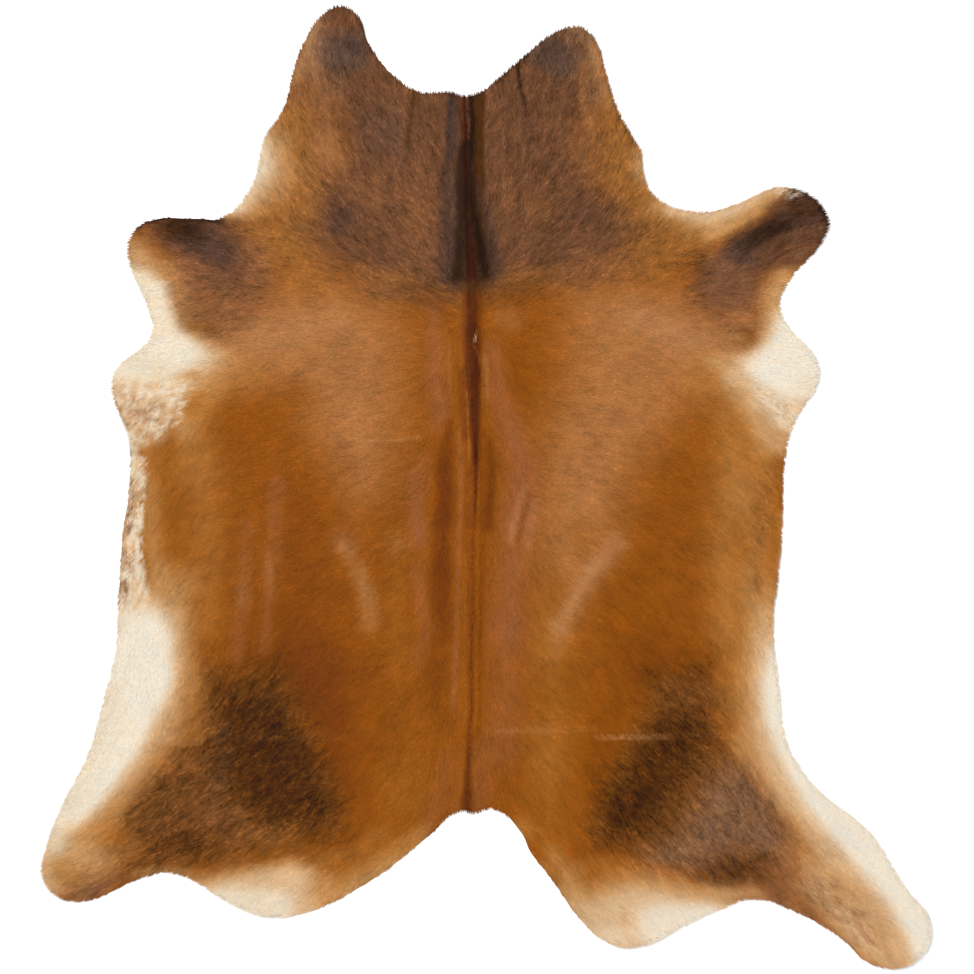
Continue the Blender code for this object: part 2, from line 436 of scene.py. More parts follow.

# The back: the dark line down the spine, with rosy painted sheen on both sides of it.
BACK = (
    Stroke(H.ROSE_SHEEN, 0.75, 16, 20, 40, 0, ((-120, 400), (-115, 240), (-105, 140))),
    Stroke(H.BLUSH_SHEEN, 0.4, 3, 3, 10, 0, ((-88, 330), (-84, 240), (-80, 200))),
    Stroke(H.ROSE_SHEEN, 0.65, 12, 18, 40, 3, ((-145, 60), (-158, -40), (-158, -110))),
    Stroke(H.ROSE_SHEEN, 0.3, 14, 16, 50, 4, ((-152, -120), (-140, -240), (-128, -340))),
    Stroke(H.COPPER, 0.92, 10, 30, 26, 2, (
        (-90, 140), (-97, 40), (-102, -50), (-104, -200), (-106, -340),
    )),
    Stroke(H.CHESTNUT, 0.5, 6, 22, 20, 1, (
        (-84, 145), (-90, 70), (-98, -20), (-102, -120), (-105, -240),
    )),
    Dab(H.CHESTNUT, 0.9, -93, -10, 34, 160, 0, 1),
    Dab(H.CHESTNUT, 0.45, -104, -250, 28, 120, 0, 1),
    Dab(H.CHESTNUT, 0.45, -116, -430, 50, 130, 6, 1),
    Stroke(H.ROSE_SHEEN, 0.6, 4, 6, 10, 1, ((-64, 130), (-60, 40), (-62, -100), (-68, -300), (-74, -500))),
    Stroke(H.ROSE_SHEEN, 0.85, 14, 36, 70, 2, ((14, 320), (28, 220), (62, 120), (80, 20), (78, -80))),
    Stroke(H.ROSE_SHEEN, 0.72, 36, 36, 80, 2, ((74, -80), (58, -200), (48, -320))),
    Stroke(H.ROSE_SHEEN, 0.55, 32, 32, 90, 2, ((48, -320), (45, -460), (40, -600))),
    Stroke(H.CHESTNUT, 0.8, 6, 12, 22, 1, ((10, 105), (12, 40), (8, -40), (4, -90))),
    # A small crease beside the back: painted shade along it, and painted highlights beside it.
    Stroke(H.CHESTNUT, 0.55, 2, 5, 8, 0, ((100, -10), (86, -60), (67, -130))),
    Stroke(H.BLUSH_SHEEN, 0.55, 4, 8, 16, 0, ((88, 0), (72, -60), (52, -120))),
    Stroke(H.BLUSH_SHEEN, 0.35, 6, 8, 16, 0, ((115, -30), (103, -80), (94, -140))),
    Stroke(H.COPPER, 0.8, 23, 20, 14, 0, ((-29, 120), (-29, -200), (-34, -560))),
    Stroke(H.AMBER, 0.6, 2, 4, 6, 0, ((-18, 40), (-19, -120), (-22, -300), (-24, -560))),
    Stroke(H.AMBER, 0.5, 3, 4, 8, 0, ((-47, -160), (-50, -560))),
    Stroke(H.CHESTNUT, 0.95, 23, 18, 18, 1, ((-34, 460), (-31, 360), (-31, 240), (-33, 120))),
    Stroke(H.CHESTNUT, 0.45, 8, 6, 12, 0, ((-58, 260), (-56, 180), (-54, 110))),
    Stroke(H.MAROON, 0.52, 12, 7, 12, 1, ((-34, 460), (-30, 370), (-25, 260), (-24, 140), (-26, 60))),
    Stroke(H.MAROON, 0.35, 3, 2, 6, 0, ((-44, 370), (-44, 280), (-38, 200))),
    Stroke(H.HONEY, 0.7, 1.5, 1.5, 4, 0, ((-42, 220), (-41, 120), (-41, 50))),
    Stroke(H.MAROON, 0.6, 5, 2, 6, 0, ((-26, 110), (-26, 20), (-27, -80))),
    Stroke(H.CHESTNUT, 0.72, 2, 2, 5, 0, ((-27, -50), (-30, -200), (-33, -360), (-36, -580))),
    Stroke(H.MAROON, 0.25, 1, 3, 5, 0, ((-31, -240), (-34, -400), (-37, -580))),
    Stroke(H.ROSE_SHEEN, 0.6, 2, 2, 6, 0, ((-29, 328), (-16, 295), (-8, 250), (-8, 180))),
    Stroke(H.BLUSH_SHEEN, 0.5, 4, 2, 10, 0, ((-6, 300), (0, 260), (4, 200))),
    Stroke(H.SAND, 0.9, 1, 2, 4, 0, ((-30, 328), (-19, 354))),
    Stroke(H.ROSE_SHEEN, 0.5, 20, 40, 60, 0, ((-10, -600), (-20, -680), (-40, -760))),
    Stroke(H.ROSE_SHEEN, 0.4, 16, 24, 50, 0, ((-85, -620), (-110, -700), (-130, -780))),
    Stroke(H.CHESTNUT, 0.85, 4, 15, 14, 1, ((-37, -570), (-41, -650), (-46, -750))),
    Stroke(H.MAROON, 0.3, 2, 6, 10, 1, ((-38, -600), (-42, -670), (-46, -750))),
)

# The neck: grizzled brown, its grey cast partly painted sheen, with two smoky tips and the dark wedge
# that runs into the back.
NECK = (
    Patch(H.OCHRE, 0.9, 140, 0, (
        (-560, 900), (-380, 940), (-330, 800), (-360, 600), (-380, 470), (-520, 480), (-580, 600),
    )),
    Patch(H.OCHRE, 0.9, 120, 0, (
        (240, 940), (340, 920), (400, 740), (500, 660), (520, 540), (420, 480), (340, 480), (260, 620),
        (220, 780),
    )),
    Patch(H.UMBER, 0.92, 120, 14, (
        (-460, 1160), (320, 1160), (275, 980), (245, 860), (225, 760), (275, 670), (335, 600),
        (320, 520), (200, 475), (50, 450), (-30, 430), (-140, 430), (-260, 455), (-360, 510),
        (-410, 600), (-395, 700), (-330, 780), (-360, 880), (-430, 950),
    )),
    Patch(H.COCOA, 0.75, 70, 10, (
        (-430, 990), (-390, 990), (-340, 930), (-330, 860), (-340, 760), (-370, 700), (-410, 700),
        (-400, 800), (-410, 900),
    )),
    Dab(H.OCHRE, 0.9, -445, 845, 80, 60, 0, 10),
    Dab(H.OCHRE, 0.55, -410, 670, 80, 90, 0, 10),
    Dab(H.TAN, 0.85, -368, 780, 60, 65, 0, 6),
    Dab(H.COCOA, 0.6, -270, 680, 120, 90, 0, 12),
    Dab(H.COCOA, 0.7, -160, 620, 70, 160, 0, 10),
    Dab(H.COCOA, 0.5, -200, 880, 60, 50, 0, 10),
    Dab(H.COCOA, 0.45, 50, 670, 60, 80, 0, 10),
    Dab(H.COCOA, 0.8, 240, 500, 120, 70, 0, 12),
    Dab(H.COCOA, 0.6, 220, 760, 80, 120, 0, 12),
    Dab(H.OCHRE, 0.2, 120, 640, 90, 70, 0, 12),
    Dab(H.OCHRE, 0.5, -220, 470, 140, 50, 0, 12),
    Dab(H.OCHRE, 0.45, 80, 480, 140, 40, 0, 12),
    Patch(H.SLATE, 0.95, 45, 6, (
        (-375, 965), (-370, 1010), (-345, 1035), (-290, 1040), (-260, 1000), (-275, 960), (-330, 945),
    )),
    Dab(H.DUSK, 0.6, -300, 1005, 60, 50, 0, 4),
    Dab(H.SLATE, 0.5, -230, 810, 100, 90, 0, 10),
    Patch(H.SLATE, 0.95, 45, 6, (
        (95, 1000), (150, 1030), (190, 1010), (220, 975), (205, 945), (175, 930), (130, 955),
    )),
    Dab(H.DUSK, 0.6, 150, 1000, 50, 45, 0, 4),
    Dab(H.UMBER, 0.5, -225, 445, 90, 35, 0, 8),
    Dab(H.SAND, 0.24, 255, 1000, 50, 110, 0, 4),
    Dab(H.SAND, 0.22, -400, 980, 60, 100, 0, 4),
    Dab(H.WHEAT, 0.5, 352, 745, 45, 60, 0, 4),
    Dab(H.DUSK, 0.6, -325, 610, 80, 60, 0, 12),
    Dab(H.DUSK, 0.3, 220, 630, 90, 50, 0, 12),
    Stroke(H.COCOA, 0.7, 14, 16, 40, 4, ((-420, 1040), (-420, 980), (-450, 900))),
    Stroke(H.TAN, 0.5, 14, 14, 34, 4, ((248, 1050), (256, 980), (270, 900))),
    Stroke(H.TAN, 0.45, 10, 10, 34, 4, ((215, 960), (225, 880), (245, 800))),
    Dab(H.OCHRE, 0.9, 315, 810, 60, 100, 12, 6),
    Dab(H.COCOA, 0.6, -430, 892, 50, 50, 0, 6),
    Dab(H.ASH, 0.85, 216, 1036, 60, 40, 0, 4),
    Dab(H.ASH, 0.75, -385, 1036, 50, 60, 0, 4),
    # Painted shade at the top of the right neck crease.
    Dab(H.SOOT, 0.8, 71, 978, 26, 34, 0, 2),
    Dab(H.COCOA, 0.35, -240, 600, 90, 60, 0, 12),
    # Painted shade down the left neck crease.
    Stroke(H.PEAT, 0.7, 4, 3, 12, 1, ((-165, 910), (-170, 850), (-180, 780))),
    Stroke(H.DUSK, 0.95, 12, 12, 9, 1, ((-76, 930), (-77, 840), (-80, 760))),
    Stroke(H.DUSK, 0.75, 12, 18, 30, 3, ((-85, 740), (-88, 600), (-88, 480))),
    Stroke(H.DUSK, 0.6, 2, 16, 26, 3, ((2, 660), (10, 570), (18, 490))),
    Stroke(H.WALNUT, 0.95, 13, 13, 6, 1, ((-17, 930), (-17, 800), (-16, 700), (-14, 630), (-10, 580))),
    Stroke(H.MAROON, 0.45, 8, 7, 7, 0, ((-58, 920), (-57, 840), (-52, 780))),
    Stroke(H.MAROON, 0.85, 3, 4, 4, 0, ((-49, 920), (-48, 840), (-48, 760))),
    Stroke(H.SOOT, 0.95, 6, 7, 7, 1, ((-35, 930), (-34, 840), (-36, 760))),
    Stroke(H.SLATE, 0.55, 1, 1, 4, 0, ((-42, 900), (-41, 820), (-44, 770))),
    Patch(H.DUSK, 0.55, 30, 4, (
        (-70, 720), (-84, 620), (-98, 540), (-98, 485), (-80, 458), (-20, 452), (20, 462), (30, 500),
        (22, 560), (8, 620), (-10, 700),
    )),
    Patch(H.SOOT, 1.0, 20, 2.5, (
        (-60, 790), (-67, 765), (-70, 700), (-67, 640), (-69, 600), (-73, 540), (-74, 500), (-80, 475),
        (-64, 460), (-47, 468), (-49, 520), (-48, 570), (-45, 610), (-40, 635), (-34, 605), (-26, 550),
        (-20, 500), (-12, 466), (4, 464), (12, 480), (6, 500), (-1, 550), (-12, 600), (-24, 650),
        (-28, 700), (-28, 770), (-34, 800), (-46, 790),
    )),
    Stroke(H.MAROON, 0.6, 4, 6, 8, 1, ((-52, 770), (-50, 700), (-46, 630))),
    Stroke(H.DUSK, 0.35, 1, 1, 4, 0, ((-44, 770), (-41, 730), (-40, 690))),
    Stroke(H.SOOT, 0.8, 8, 16, 14, 2, ((-44, 680), (-41, 600), (-37, 520), (-34, 475))),
    Stroke(H.MAROON, 0.95, 2, 10, 7, 1, ((-41, 610), (-38, 570), (-34, 520), (-31, 460))),
    Patch(H.CHESTNUT, 0.8, 22, 4, (
        (-60, 462), (0, 462), (-10, 440), (-18, 410), (-46, 410), (-52, 440),
    )),
    Dab(H.WALNUT, 0.8, -32, 462, 44, 24, 0, 3),
    Stroke(H.MAROON, 0.45, 10, 10, 14, 1, ((-33, 480), (-34, 420))),
    # Painted shade down the right neck crease.
    Stroke(H.SOOT, 0.95, 3.5, 3, 6, 0, ((72, 985), (78, 920), (89, 865))),
    Stroke(H.TAN, 0.35, 2, 2, 4, 0, ((80, 980), (85, 920), (94, 850))),
    Stroke(H.SOOT, 0.9, 3, 3, 6, 0, ((77, 930), (83, 890), (91, 850))),
    Stroke(H.DUSK, 0.45, 4, 2, 12, 0, ((89, 860), (93, 820), (96, 760))),
    Stroke(H.DUSK, 0.45, 10, 14, 30, 3, ((-70, 460), (-34, 452), (4, 460))),
    # A thin line of painted shade along the rim of the notch between the neck tips.
    Stroke(H.PEAT, 0.85, 3, 3, 4, 0, (
        (-160, 906), (-100, 904), (-50, 896), (-10, 905), (40, 940), (90, 990), (150, 1040),
    )),
    Stroke(H.WHEAT, 0.25, 10, 12, 34, 2, ((235, 1060), (245, 1000), (262, 930), (282, 870))),
    Stroke(H.WHEAT, 0.4, 8, 12, 34, 2, ((-385, 1070), (-410, 1000), (-440, 930))),
    Dab(H.WHEAT, 0.65, 370, 720, 50, 70, 20, 4),
    Patch(H.WHEAT, 0.8, 80, 8, (
        (-520, 850), (-455, 800), (-440, 710), (-475, 660), (-550, 630), (-640, 620), (-640, 820),
    )),
    Patch(H.IVORY, 0.8, 50, 6, (
        (-530, 840), (-496, 800), (-490, 720), (-520, 675), (-560, 640), (-660, 620), (-660, 800),
    )),
)

# The fore legs: brown shading to soot, with pale hair along their edges.
FORE_LEGS = (
    Patch(H.COCOA, 0.9, 80, 6, (
        (-728, 440), (-728, 510), (-670, 570), (-560, 600), (-510, 540), (-490, 460), (-540, 385),
        (-620, 340), (-690, 350), (-725, 390),
    )),
    Dab(H.UMBER, 0.8, -610, 500, 120, 90, 0, 6),
    Dab(H.COCOA, 0.55, -525, 510, 60, 80, 0, 6),
    Dab(H.CHESTNUT, 0.45, -660, 360, 60, 30, 0, 6),
    Patch(H.COCOA, 0.85, 50, 5, (
        (-800, 600), (-775, 570), (-735, 535), (-700, 500), (-640, 490), (-620, 560), (-700, 620),
    )),
    Patch(H.DUSK, 0.8, 60, 8, (
        (-780, 630), (-620, 640), (-580, 590), (-565, 530), (-600, 500), (-660, 515), (-705, 540),
        (-745, 570),
    )),
    Dab(H.SOOT, 0.7, -680, 585, 80, 40, -14, 6),
    Dab(H.PEAT, 0.55, -715, 590, 70, 40, -8, 6),
    Stroke(H.SOOT, 0.9, 4, 8, 10, 0, ((-790, 595), (-740, 612), (-660, 618), (-610, 608))),
    Patch(H.WHEAT, 0.9, 60, 4, (
        (-860, 590), (-800, 565), (-765, 545), (-735, 505), (-735, 455), (-860, 460),
    )),
    Dab(H.COCOA, 0.65, -785, 585, 50, 22, 20, 2),
    Dab(H.SAND, 0.8, -580, 645, 75, 50, 0, 2),
    Dab(H.IVORY, 0.75, -580, 650, 60, 36, 0, 2),
    Dab(H.COCOA, 0.4, -582, 580, 45, 32, 0, 4),
    Dab(H.COCOA, 0.7, -688, 484, 60, 60, 0, 4),
    Dab(H.HONEY, 0.5, 465, 575, 60, 60, 0, 4),
    Dab(H.TAN, 0.45, 450, 430, 60, 40, 0, 4),
    Patch(H.COCOA, 0.85, 90, 6, (
        (475, 460), (500, 520), (570, 570), (680, 600), (680, 520), (630, 450), (625, 370), (600, 320),
        (560, 330), (525, 380), (480, 420),
    )),
    Dab(H.UMBER, 0.55, 545, 500, 105, 80, 30, 6),
    Patch(H.TAUPE, 0.85, 70, 5, (
        (485, 455), (500, 515), (560, 540), (625, 510), (620, 440), (585, 405), (545, 400), (505, 415),
    )),
    Dab(H.TAN, 0.6, 590, 385, 50, 35, 0, 4),
    Dab(H.WHEAT, 0.35, 638, 425, 35, 50, 0, 4),
    Dab(H.TAN, 0.75, 520, 350, 100, 40, -24, 4),
    Dab(H.CHESTNUT, 0.5, 600, 335, 50, 40, 0, 4),
    Patch(H.FAWN, 0.9, 70, 4, (
        (370, 630), (460, 585), (540, 580), (600, 612), (650, 655), (680, 740), (400, 740),
    )),
    Stroke(H.SAND, 0.95, 24, 14, 34, 0, ((430, 643), (480, 624), (550, 628), (610, 652), (660, 686))),
    Patch(H.FAWN, 0.9, 60, 2, ((780, 470), (710, 505), (665, 495), (640, 455), (640, 390), (720, 380))),
    Stroke(H.FAWN, 0.85, 14, 12, 30, 2, ((500, 570), (560, 598), (620, 632), (660, 665))),
    Patch(H.DUSK, 0.95, 50, 6, (
        (545, 530), (555, 565), (610, 600), (645, 625), (690, 675), (720, 710), (820, 680), (800, 560),
        (730, 550), (670, 525), (610, 500),
    )),
    Dab(H.SOOT, 0.75, 655, 590, 85, 44, 28, 6),
    Dab(H.SOOT, 0.55, 600, 558, 80, 44, 32, 6),
    Dab(H.SLATE, 0.6, 570, 535, 60, 50, 30, 6),
    Patch(H.UMBER, 0.88, 30, 4, (
        (600, 530), (660, 570), (720, 600), (790, 605), (785, 555), (745, 520), (705, 500), (640, 495),
    )),
    Dab(H.WALNUT, 0.45, 670, 550, 50, 30, 25, 3),
    Dab(H.TAUPE, 0.8, 735, 528, 60, 30, 30, 3),
    Dab(H.FAWN, 0.6, 680, 480, 40, 30, 0, 3),
    Dab(H.WHEAT, 0.55, 668, 440, 35, 45, 0, 3),
    Dab(H.PEAT, 0.45, 720, 640, 60, 50, 0, 8),
    Dab(H.COCOA, 0.45, 675, 640, 30, 30, 0, 4),
    Stroke(H.SOOT, 0.8, 3, 6, 10, 0, ((700, 685), (740, 660), (775, 620), (783, 590))),
    Dab(H.SAND, 0.3, 520, 600, 60, 30, 10, 2),
    Dab(H.SAND, 0.5, 665, 680, 40, 34, 0, 2),
    Dab(H.TAN, 0.5, 572, 385, 40, 30, 0, 2),
    Dab(H.FAWN, 0.5, -530, 632, 40, 30, 0, 2),
    Speckle(H.CREAM, 0.65, 14, 3.5, 7, 30, 0.42, (
        (655, 668), (680, 648), (712, 655), (722, 682), (670, 700),
    )),
)

# The elbows: ivory and cream patches that break up into speckle.
ELBOWS = (
    Stroke(H.FAWN, 0.55, 16, 28, 60, 2, (
        (-722, 490), (-695, 420), (-680, 350), (-630, 315), (-590, 285), (-630, 235),
    )),
    Patch(H.SAND, 0.95, 50, 4, (
        (-900, 300), (-760, 340), (-650, 335), (-600, 300), (-640, 245), (-680, 215), (-710, 170),
        (-740, 115), (-780, 100), (-900, 100),
    )),
    Patch(H.IVORY, 1.0, 35, 3, (
        (-880, 510), (-775, 495), (-732, 465), (-716, 405), (-700, 360), (-668, 335), (-645, 300),
        (-685, 265), (-740, 240), (-900, 245),
    )),
    Dab(H.CREAM, 0.8, -710, 305, 90, 50, -10, 0),
    Dab(H.HONEY, 0.6, -665, 252, 40, 20, -10, 4),
    Speckle(H.IVORY, 0.9, 30, 7.5, 8.5, 20, 0.46, (
        (-900, 250), (-760, 260), (-670, 235), (-700, 130), (-770, 95), (-900, 95),
    )),
    Speckle(H.COCOA, 0.42, 50, 4.5, 6, 20, 0.4, (
        (-900, 230), (-800, 220), (-720, 200), (-730, 120), (-790, 95), (-900, 95),
    )),
    Stroke(H.COCOA, 0.6, 3, 6, 10, 2, ((-852, 195), (-832, 150), (-810, 100))),
    Patch(H.WHEAT, 0.9, 70, 4, (
        (660, 420), (610, 320), (535, 290), (555, 220), (600, 165), (650, 90), (700, 70), (800, 100),
        (800, 420),
    )),
    Patch(H.SAND, 0.9, 40, 3, (
        (660, 400), (625, 320), (565, 290), (580, 235), (620, 185), (660, 135), (700, 120), (800, 140),
        (800, 410),
    )),
    Patch(H.CREAM, 1.0, 35, 3, (
        (672, 400), (655, 345), (625, 310), (592, 285), (595, 262), (625, 235), (680, 205), (800, 190),
        (800, 400),
    )),
    Stroke(H.WHEAT, 0.75, 14, 10, 30, 2, ((610, 195), (625, 135), (668, 90))),
    Dab(H.SAND, 0.75, 622, 188, 40, 35, 0, 2),
    Dab(H.IVORY, 0.8, 728, 232, 60, 45, 0, 2),
    Dab(H.SAND, 0.6, 560, 250, 40, 35, 0, 2),
    Dab(H.FAWN, 0.5, 575, 340, 35, 25, 0, 2),
    Dab(H.WHEAT, 0.55, 522, 285, 45, 30, 0, 2),
    Speckle(H.IVORY, 0.85, 20, 6, 7.5, -40, 0.46, (
        (600, 250), (660, 225), (740, 210), (700, 120), (670, 130), (620, 190),
    )),
)

# The hips: two dark, grizzled patches.
HIPS = (
    Patch(H.HONEY, 0.8, 100, 8, (
        (-680, -400), (-620, -420), (-620, -560), (-690, -620), (-760, -680), (-840, -800),
        (-900, -800), (-880, -720), (-780, -580), (-710, -520),
    )),
    Patch(H.BARK, 0.88, 100, 14, (
        (-650, -430), (-560, -400), (-470, -410), (-430, -500), (-395, -580), (-355, -660),
        (-330, -720), (-330, -790), (-420, -800), (-520, -825), (-620, -860), (-760, -880),
        (-810, -870), (-810, -810), (-765, -720), (-705, -650), (-655, -580), (-640, -500),
    )),
    Dab(H.CHESTNUT, 0.55, -560, -440, 120, 70, 0, 12),
    Patch(H.PEAT, 0.86, 100, 14, (
        (-600, -475), (-500, -455), (-450, -505), (-430, -560), (-405, -610), (-375, -680),
        (-355, -740), (-390, -780), (-500, -760), (-560, -700), (-610, -630), (-610, -540),
    )),
    Dab(H.PEAT, 0.6, -450, -620, 80, 120, 10, 12),
    Patch(H.BARK, 0.8, 60, 12, (
        (-830, -755), (-790, -700), (-755, -650), (-700, -600), (-640, -600), (-680, -700),
        (-740, -780), (-800, -810),
    )),
    Dab(H.COCOA, 0.5, -610, -750, 80, 45, 10, 12),
    Stroke(H.TAN, 0.34, 8, 16, 36, 6, ((-700, -525), (-708, -560), (-735, -605))),
    Stroke(H.DUSK, 0.35, 16, 20, 36, 8, ((-600, -560), (-600, -620), (-620, -690))),
    Stroke(H.WALNUT, 0.35, 12, 14, 30, 8, ((-440, -580), (-435, -640), (-425, -700))),
    Dab(H.WALNUT, 0.25, -530, -470, 80, 60, 0, 10),
    Dab(H.OCHRE, 0.55, -500, -800, 130, 40, 8, 14),
    Dab(H.OCHRE, 0.6, -430, -850, 120, 40, 8, 14),
    Dab(H.PEAT, 0.6, -690, -815, 120, 40, 0, 12),
    Speckle(H.OCHRE, 0.26, 40, 4, 5.5, 30, 0.32, (
        (-700, -420), (-450, -400), (-330, -700), (-330, -820), (-600, -870), (-820, -880),
        (-800, -700),
    )),
    Dab(H.HONEY, 0.55, -812, -815, 45, 60, 0, 8),
    Stroke(H.HONEY, 0.45, 20, 20, 50, 4, ((-360, -850), (-300, -835), (-240, -790))),
    Patch(H.HONEY, 0.8, 100, 8, (
        (600, -420), (630, -560), (700, -680), (800, -800), (740, -840), (640, -700), (550, -580),
        (530, -480),
    )),
    Patch(H.BARK, 0.85, 100, 14, (
        (380, -430), (500, -410), (530, -480), (530, -560), (560, -640), (620, -710), (670, -780),
        (690, -860), (660, -910), (480, -890), (360, -840), (250, -810), (240, -760), (270, -670),
        (330, -590), (370, -500),
    )),
    Patch(H.PEAT, 0.84, 100, 14, (
        (395, -530), (470, -520), (500, -575), (440, -640), (400, -720), (360, -785), (280, -800),
        (265, -750), (295, -680), (340, -600),
    )),
    Dab(H.PEAT, 0.4, 320, -720, 70, 70, 30, 12),
    Patch(H.ASH, 0.92, 90, 12, (
        (500, -690), (550, -625), (600, -645), (655, -720), (700, -800), (690, -860), (580, -830),
        (460, -870), (360, -850), (390, -820), (450, -780), (480, -730),
    )),
    Dab(H.UMBER, 0.7, 550, -865, 120, 40, -8, 12),
    Dab(H.PEAT, 0.3, 570, -875, 80, 30, -10, 12),
    Dab(H.HONEY, 0.6, 310, -875, 120, 40, -10, 14),
    Dab(H.ASH, 0.6, 420, -850, 100, 30, -8, 12),
    Dab(H.TAN, 0.8, 400, -885, 100, 34, -8, 12),
    Dab(H.ASH, 0.6, 530, -900, 100, 26, -4, 12),
    Dab(H.TAUPE, 0.65, 635, -908, 90, 34, -6, 12),
    Dab(H.FAWN, 0.45, 578, -595, 40, 70, 0, 8),
    Speckle(H.OCHRE, 0.26, 40, 4, 5.5, -30, 0.32, (
        (380, -420), (520, -420), (540, -600), (660, -780), (680, -880), (360, -860), (240, -800),
        (270, -660),
    )),
    Dab(H.HONEY, 0.9, 475, -725, 10, 10, 0, 0),
)

# The flanks: cream in front of the thighs, and the broken white rim on the left.
FLANKS = (
    Patch(H.WHEAT, 0.75, 80, 4, (
        (-880, -220), (-750, -220), (-685, -280), (-675, -420), (-690, -500), (-715, -560),
        (-745, -610), (-790, -680), (-850, -750), (-930, -820), (-1080, -820), (-1020, -600),
        (-940, -400),
    )),
    Patch(H.SAND, 0.85, 50, 2, (
        (-880, -240), (-750, -250), (-705, -300), (-697, -420), (-717, -490), (-740, -555),
        (-768, -605), (-812, -665), (-875, -730), (-940, -795), (-1080, -820), (-1020, -600),
        (-940, -400),
    )),
    Patch(H.CREAM, 1.0, 40, 2, (
        (-900, -260), (-790, -260), (-740, -290), (-718, -340), (-714, -430), (-734, -490),
        (-768, -550), (-795, -605), (-835, -660), (-880, -720), (-935, -770), (-980, -812),
        (-1080, -810), (-1020, -600), (-940, -400),
    )),
    Stroke(H.IVORY, 0.9, 30, 30, 60, 0, ((-860, -460), (-880, -560), (-930, -680), (-990, -790))),
    Patch(H.SAND, 0.85, 14, 3, (
        (-900, 140), (-812, 125), (-798, 90), (-782, 50), (-790, 20), (-790, -60), (-786, -100),
        (-792, -140), (-790, -190), (-772, -220), (-765, -280), (-900, -300),
    )),
    Dab(H.SAND, 0.35, -835, -315, 30, 40, 0, 2),
    Stroke(H.WHEAT, 0.24, 14, 14, 30, 3, ((-760, 0), (-758, -120), (-750, -240))),
    Stroke(H.SAND, 0.7, 10, 6, 30, 2, ((632, -290), (620, -380), (614, -440))),
    Stroke(H.HONEY, 0.5, 10, 16, 45, 4, ((575, 100), (560, 20), (548, -80), (550, -200), (560, -340))),
    Stroke(H.OCHRE, 0.7, 22, 14, 24, 4, ((655, 30), (638, -40), (622, -100), (618, -160), (618, -225))),
    Dab(H.RUSSET, 0.3, 650, -10, 30, 50, 0, 4),
    Dab(H.WHEAT, 0.5, -735, -572, 40, 60, -30, 2),
    Speckle(H.IVORY, 0.95, 12, 5.5, 14, 24, 0.56, (
        (-900, 140), (-800, 120), (-772, 50), (-780, -80), (-780, -180), (-765, -240), (-770, -310),
        (-900, -300),
    )),
    Speckle(H.COCOA, 0.68, 12, 4.5, 11, 24, 0.38, (
        (-900, 120), (-815, 110), (-800, 40), (-795, -100), (-805, -200), (-820, -280), (-900, -280),
    )),
    Patch(H.WHEAT, 0.8, 80, 4, (
        (700, -200), (645, -240), (605, -360), (590, -460), (585, -540), (600, -620), (645, -700),
        (695, -770), (745, -840), (810, -910), (860, -1000), (880, -1120), (1100, -1100), (1100, -800),
        (800, -500),
    )),
    Patch(H.SAND, 0.85, 50, 2, (
        (700, -260), (655, -300), (620, -380), (608, -460), (615, -550), (638, -640), (678, -715),
        (735, -790), (790, -855), (850, -920), (905, -1000), (925, -1120), (1100, -1100), (1100, -800),
        (800, -500),
    )),
    Patch(H.CREAM, 1.0, 40, 2, (
        (700, -320), (645, -370), (628, -440), (632, -520), (658, -600), (692, -670), (740, -740),
        (798, -810), (855, -875), (915, -945), (955, -1020), (975, -1080), (1100, -1100), (1100, -800),
        (800, -500),
    )),
)

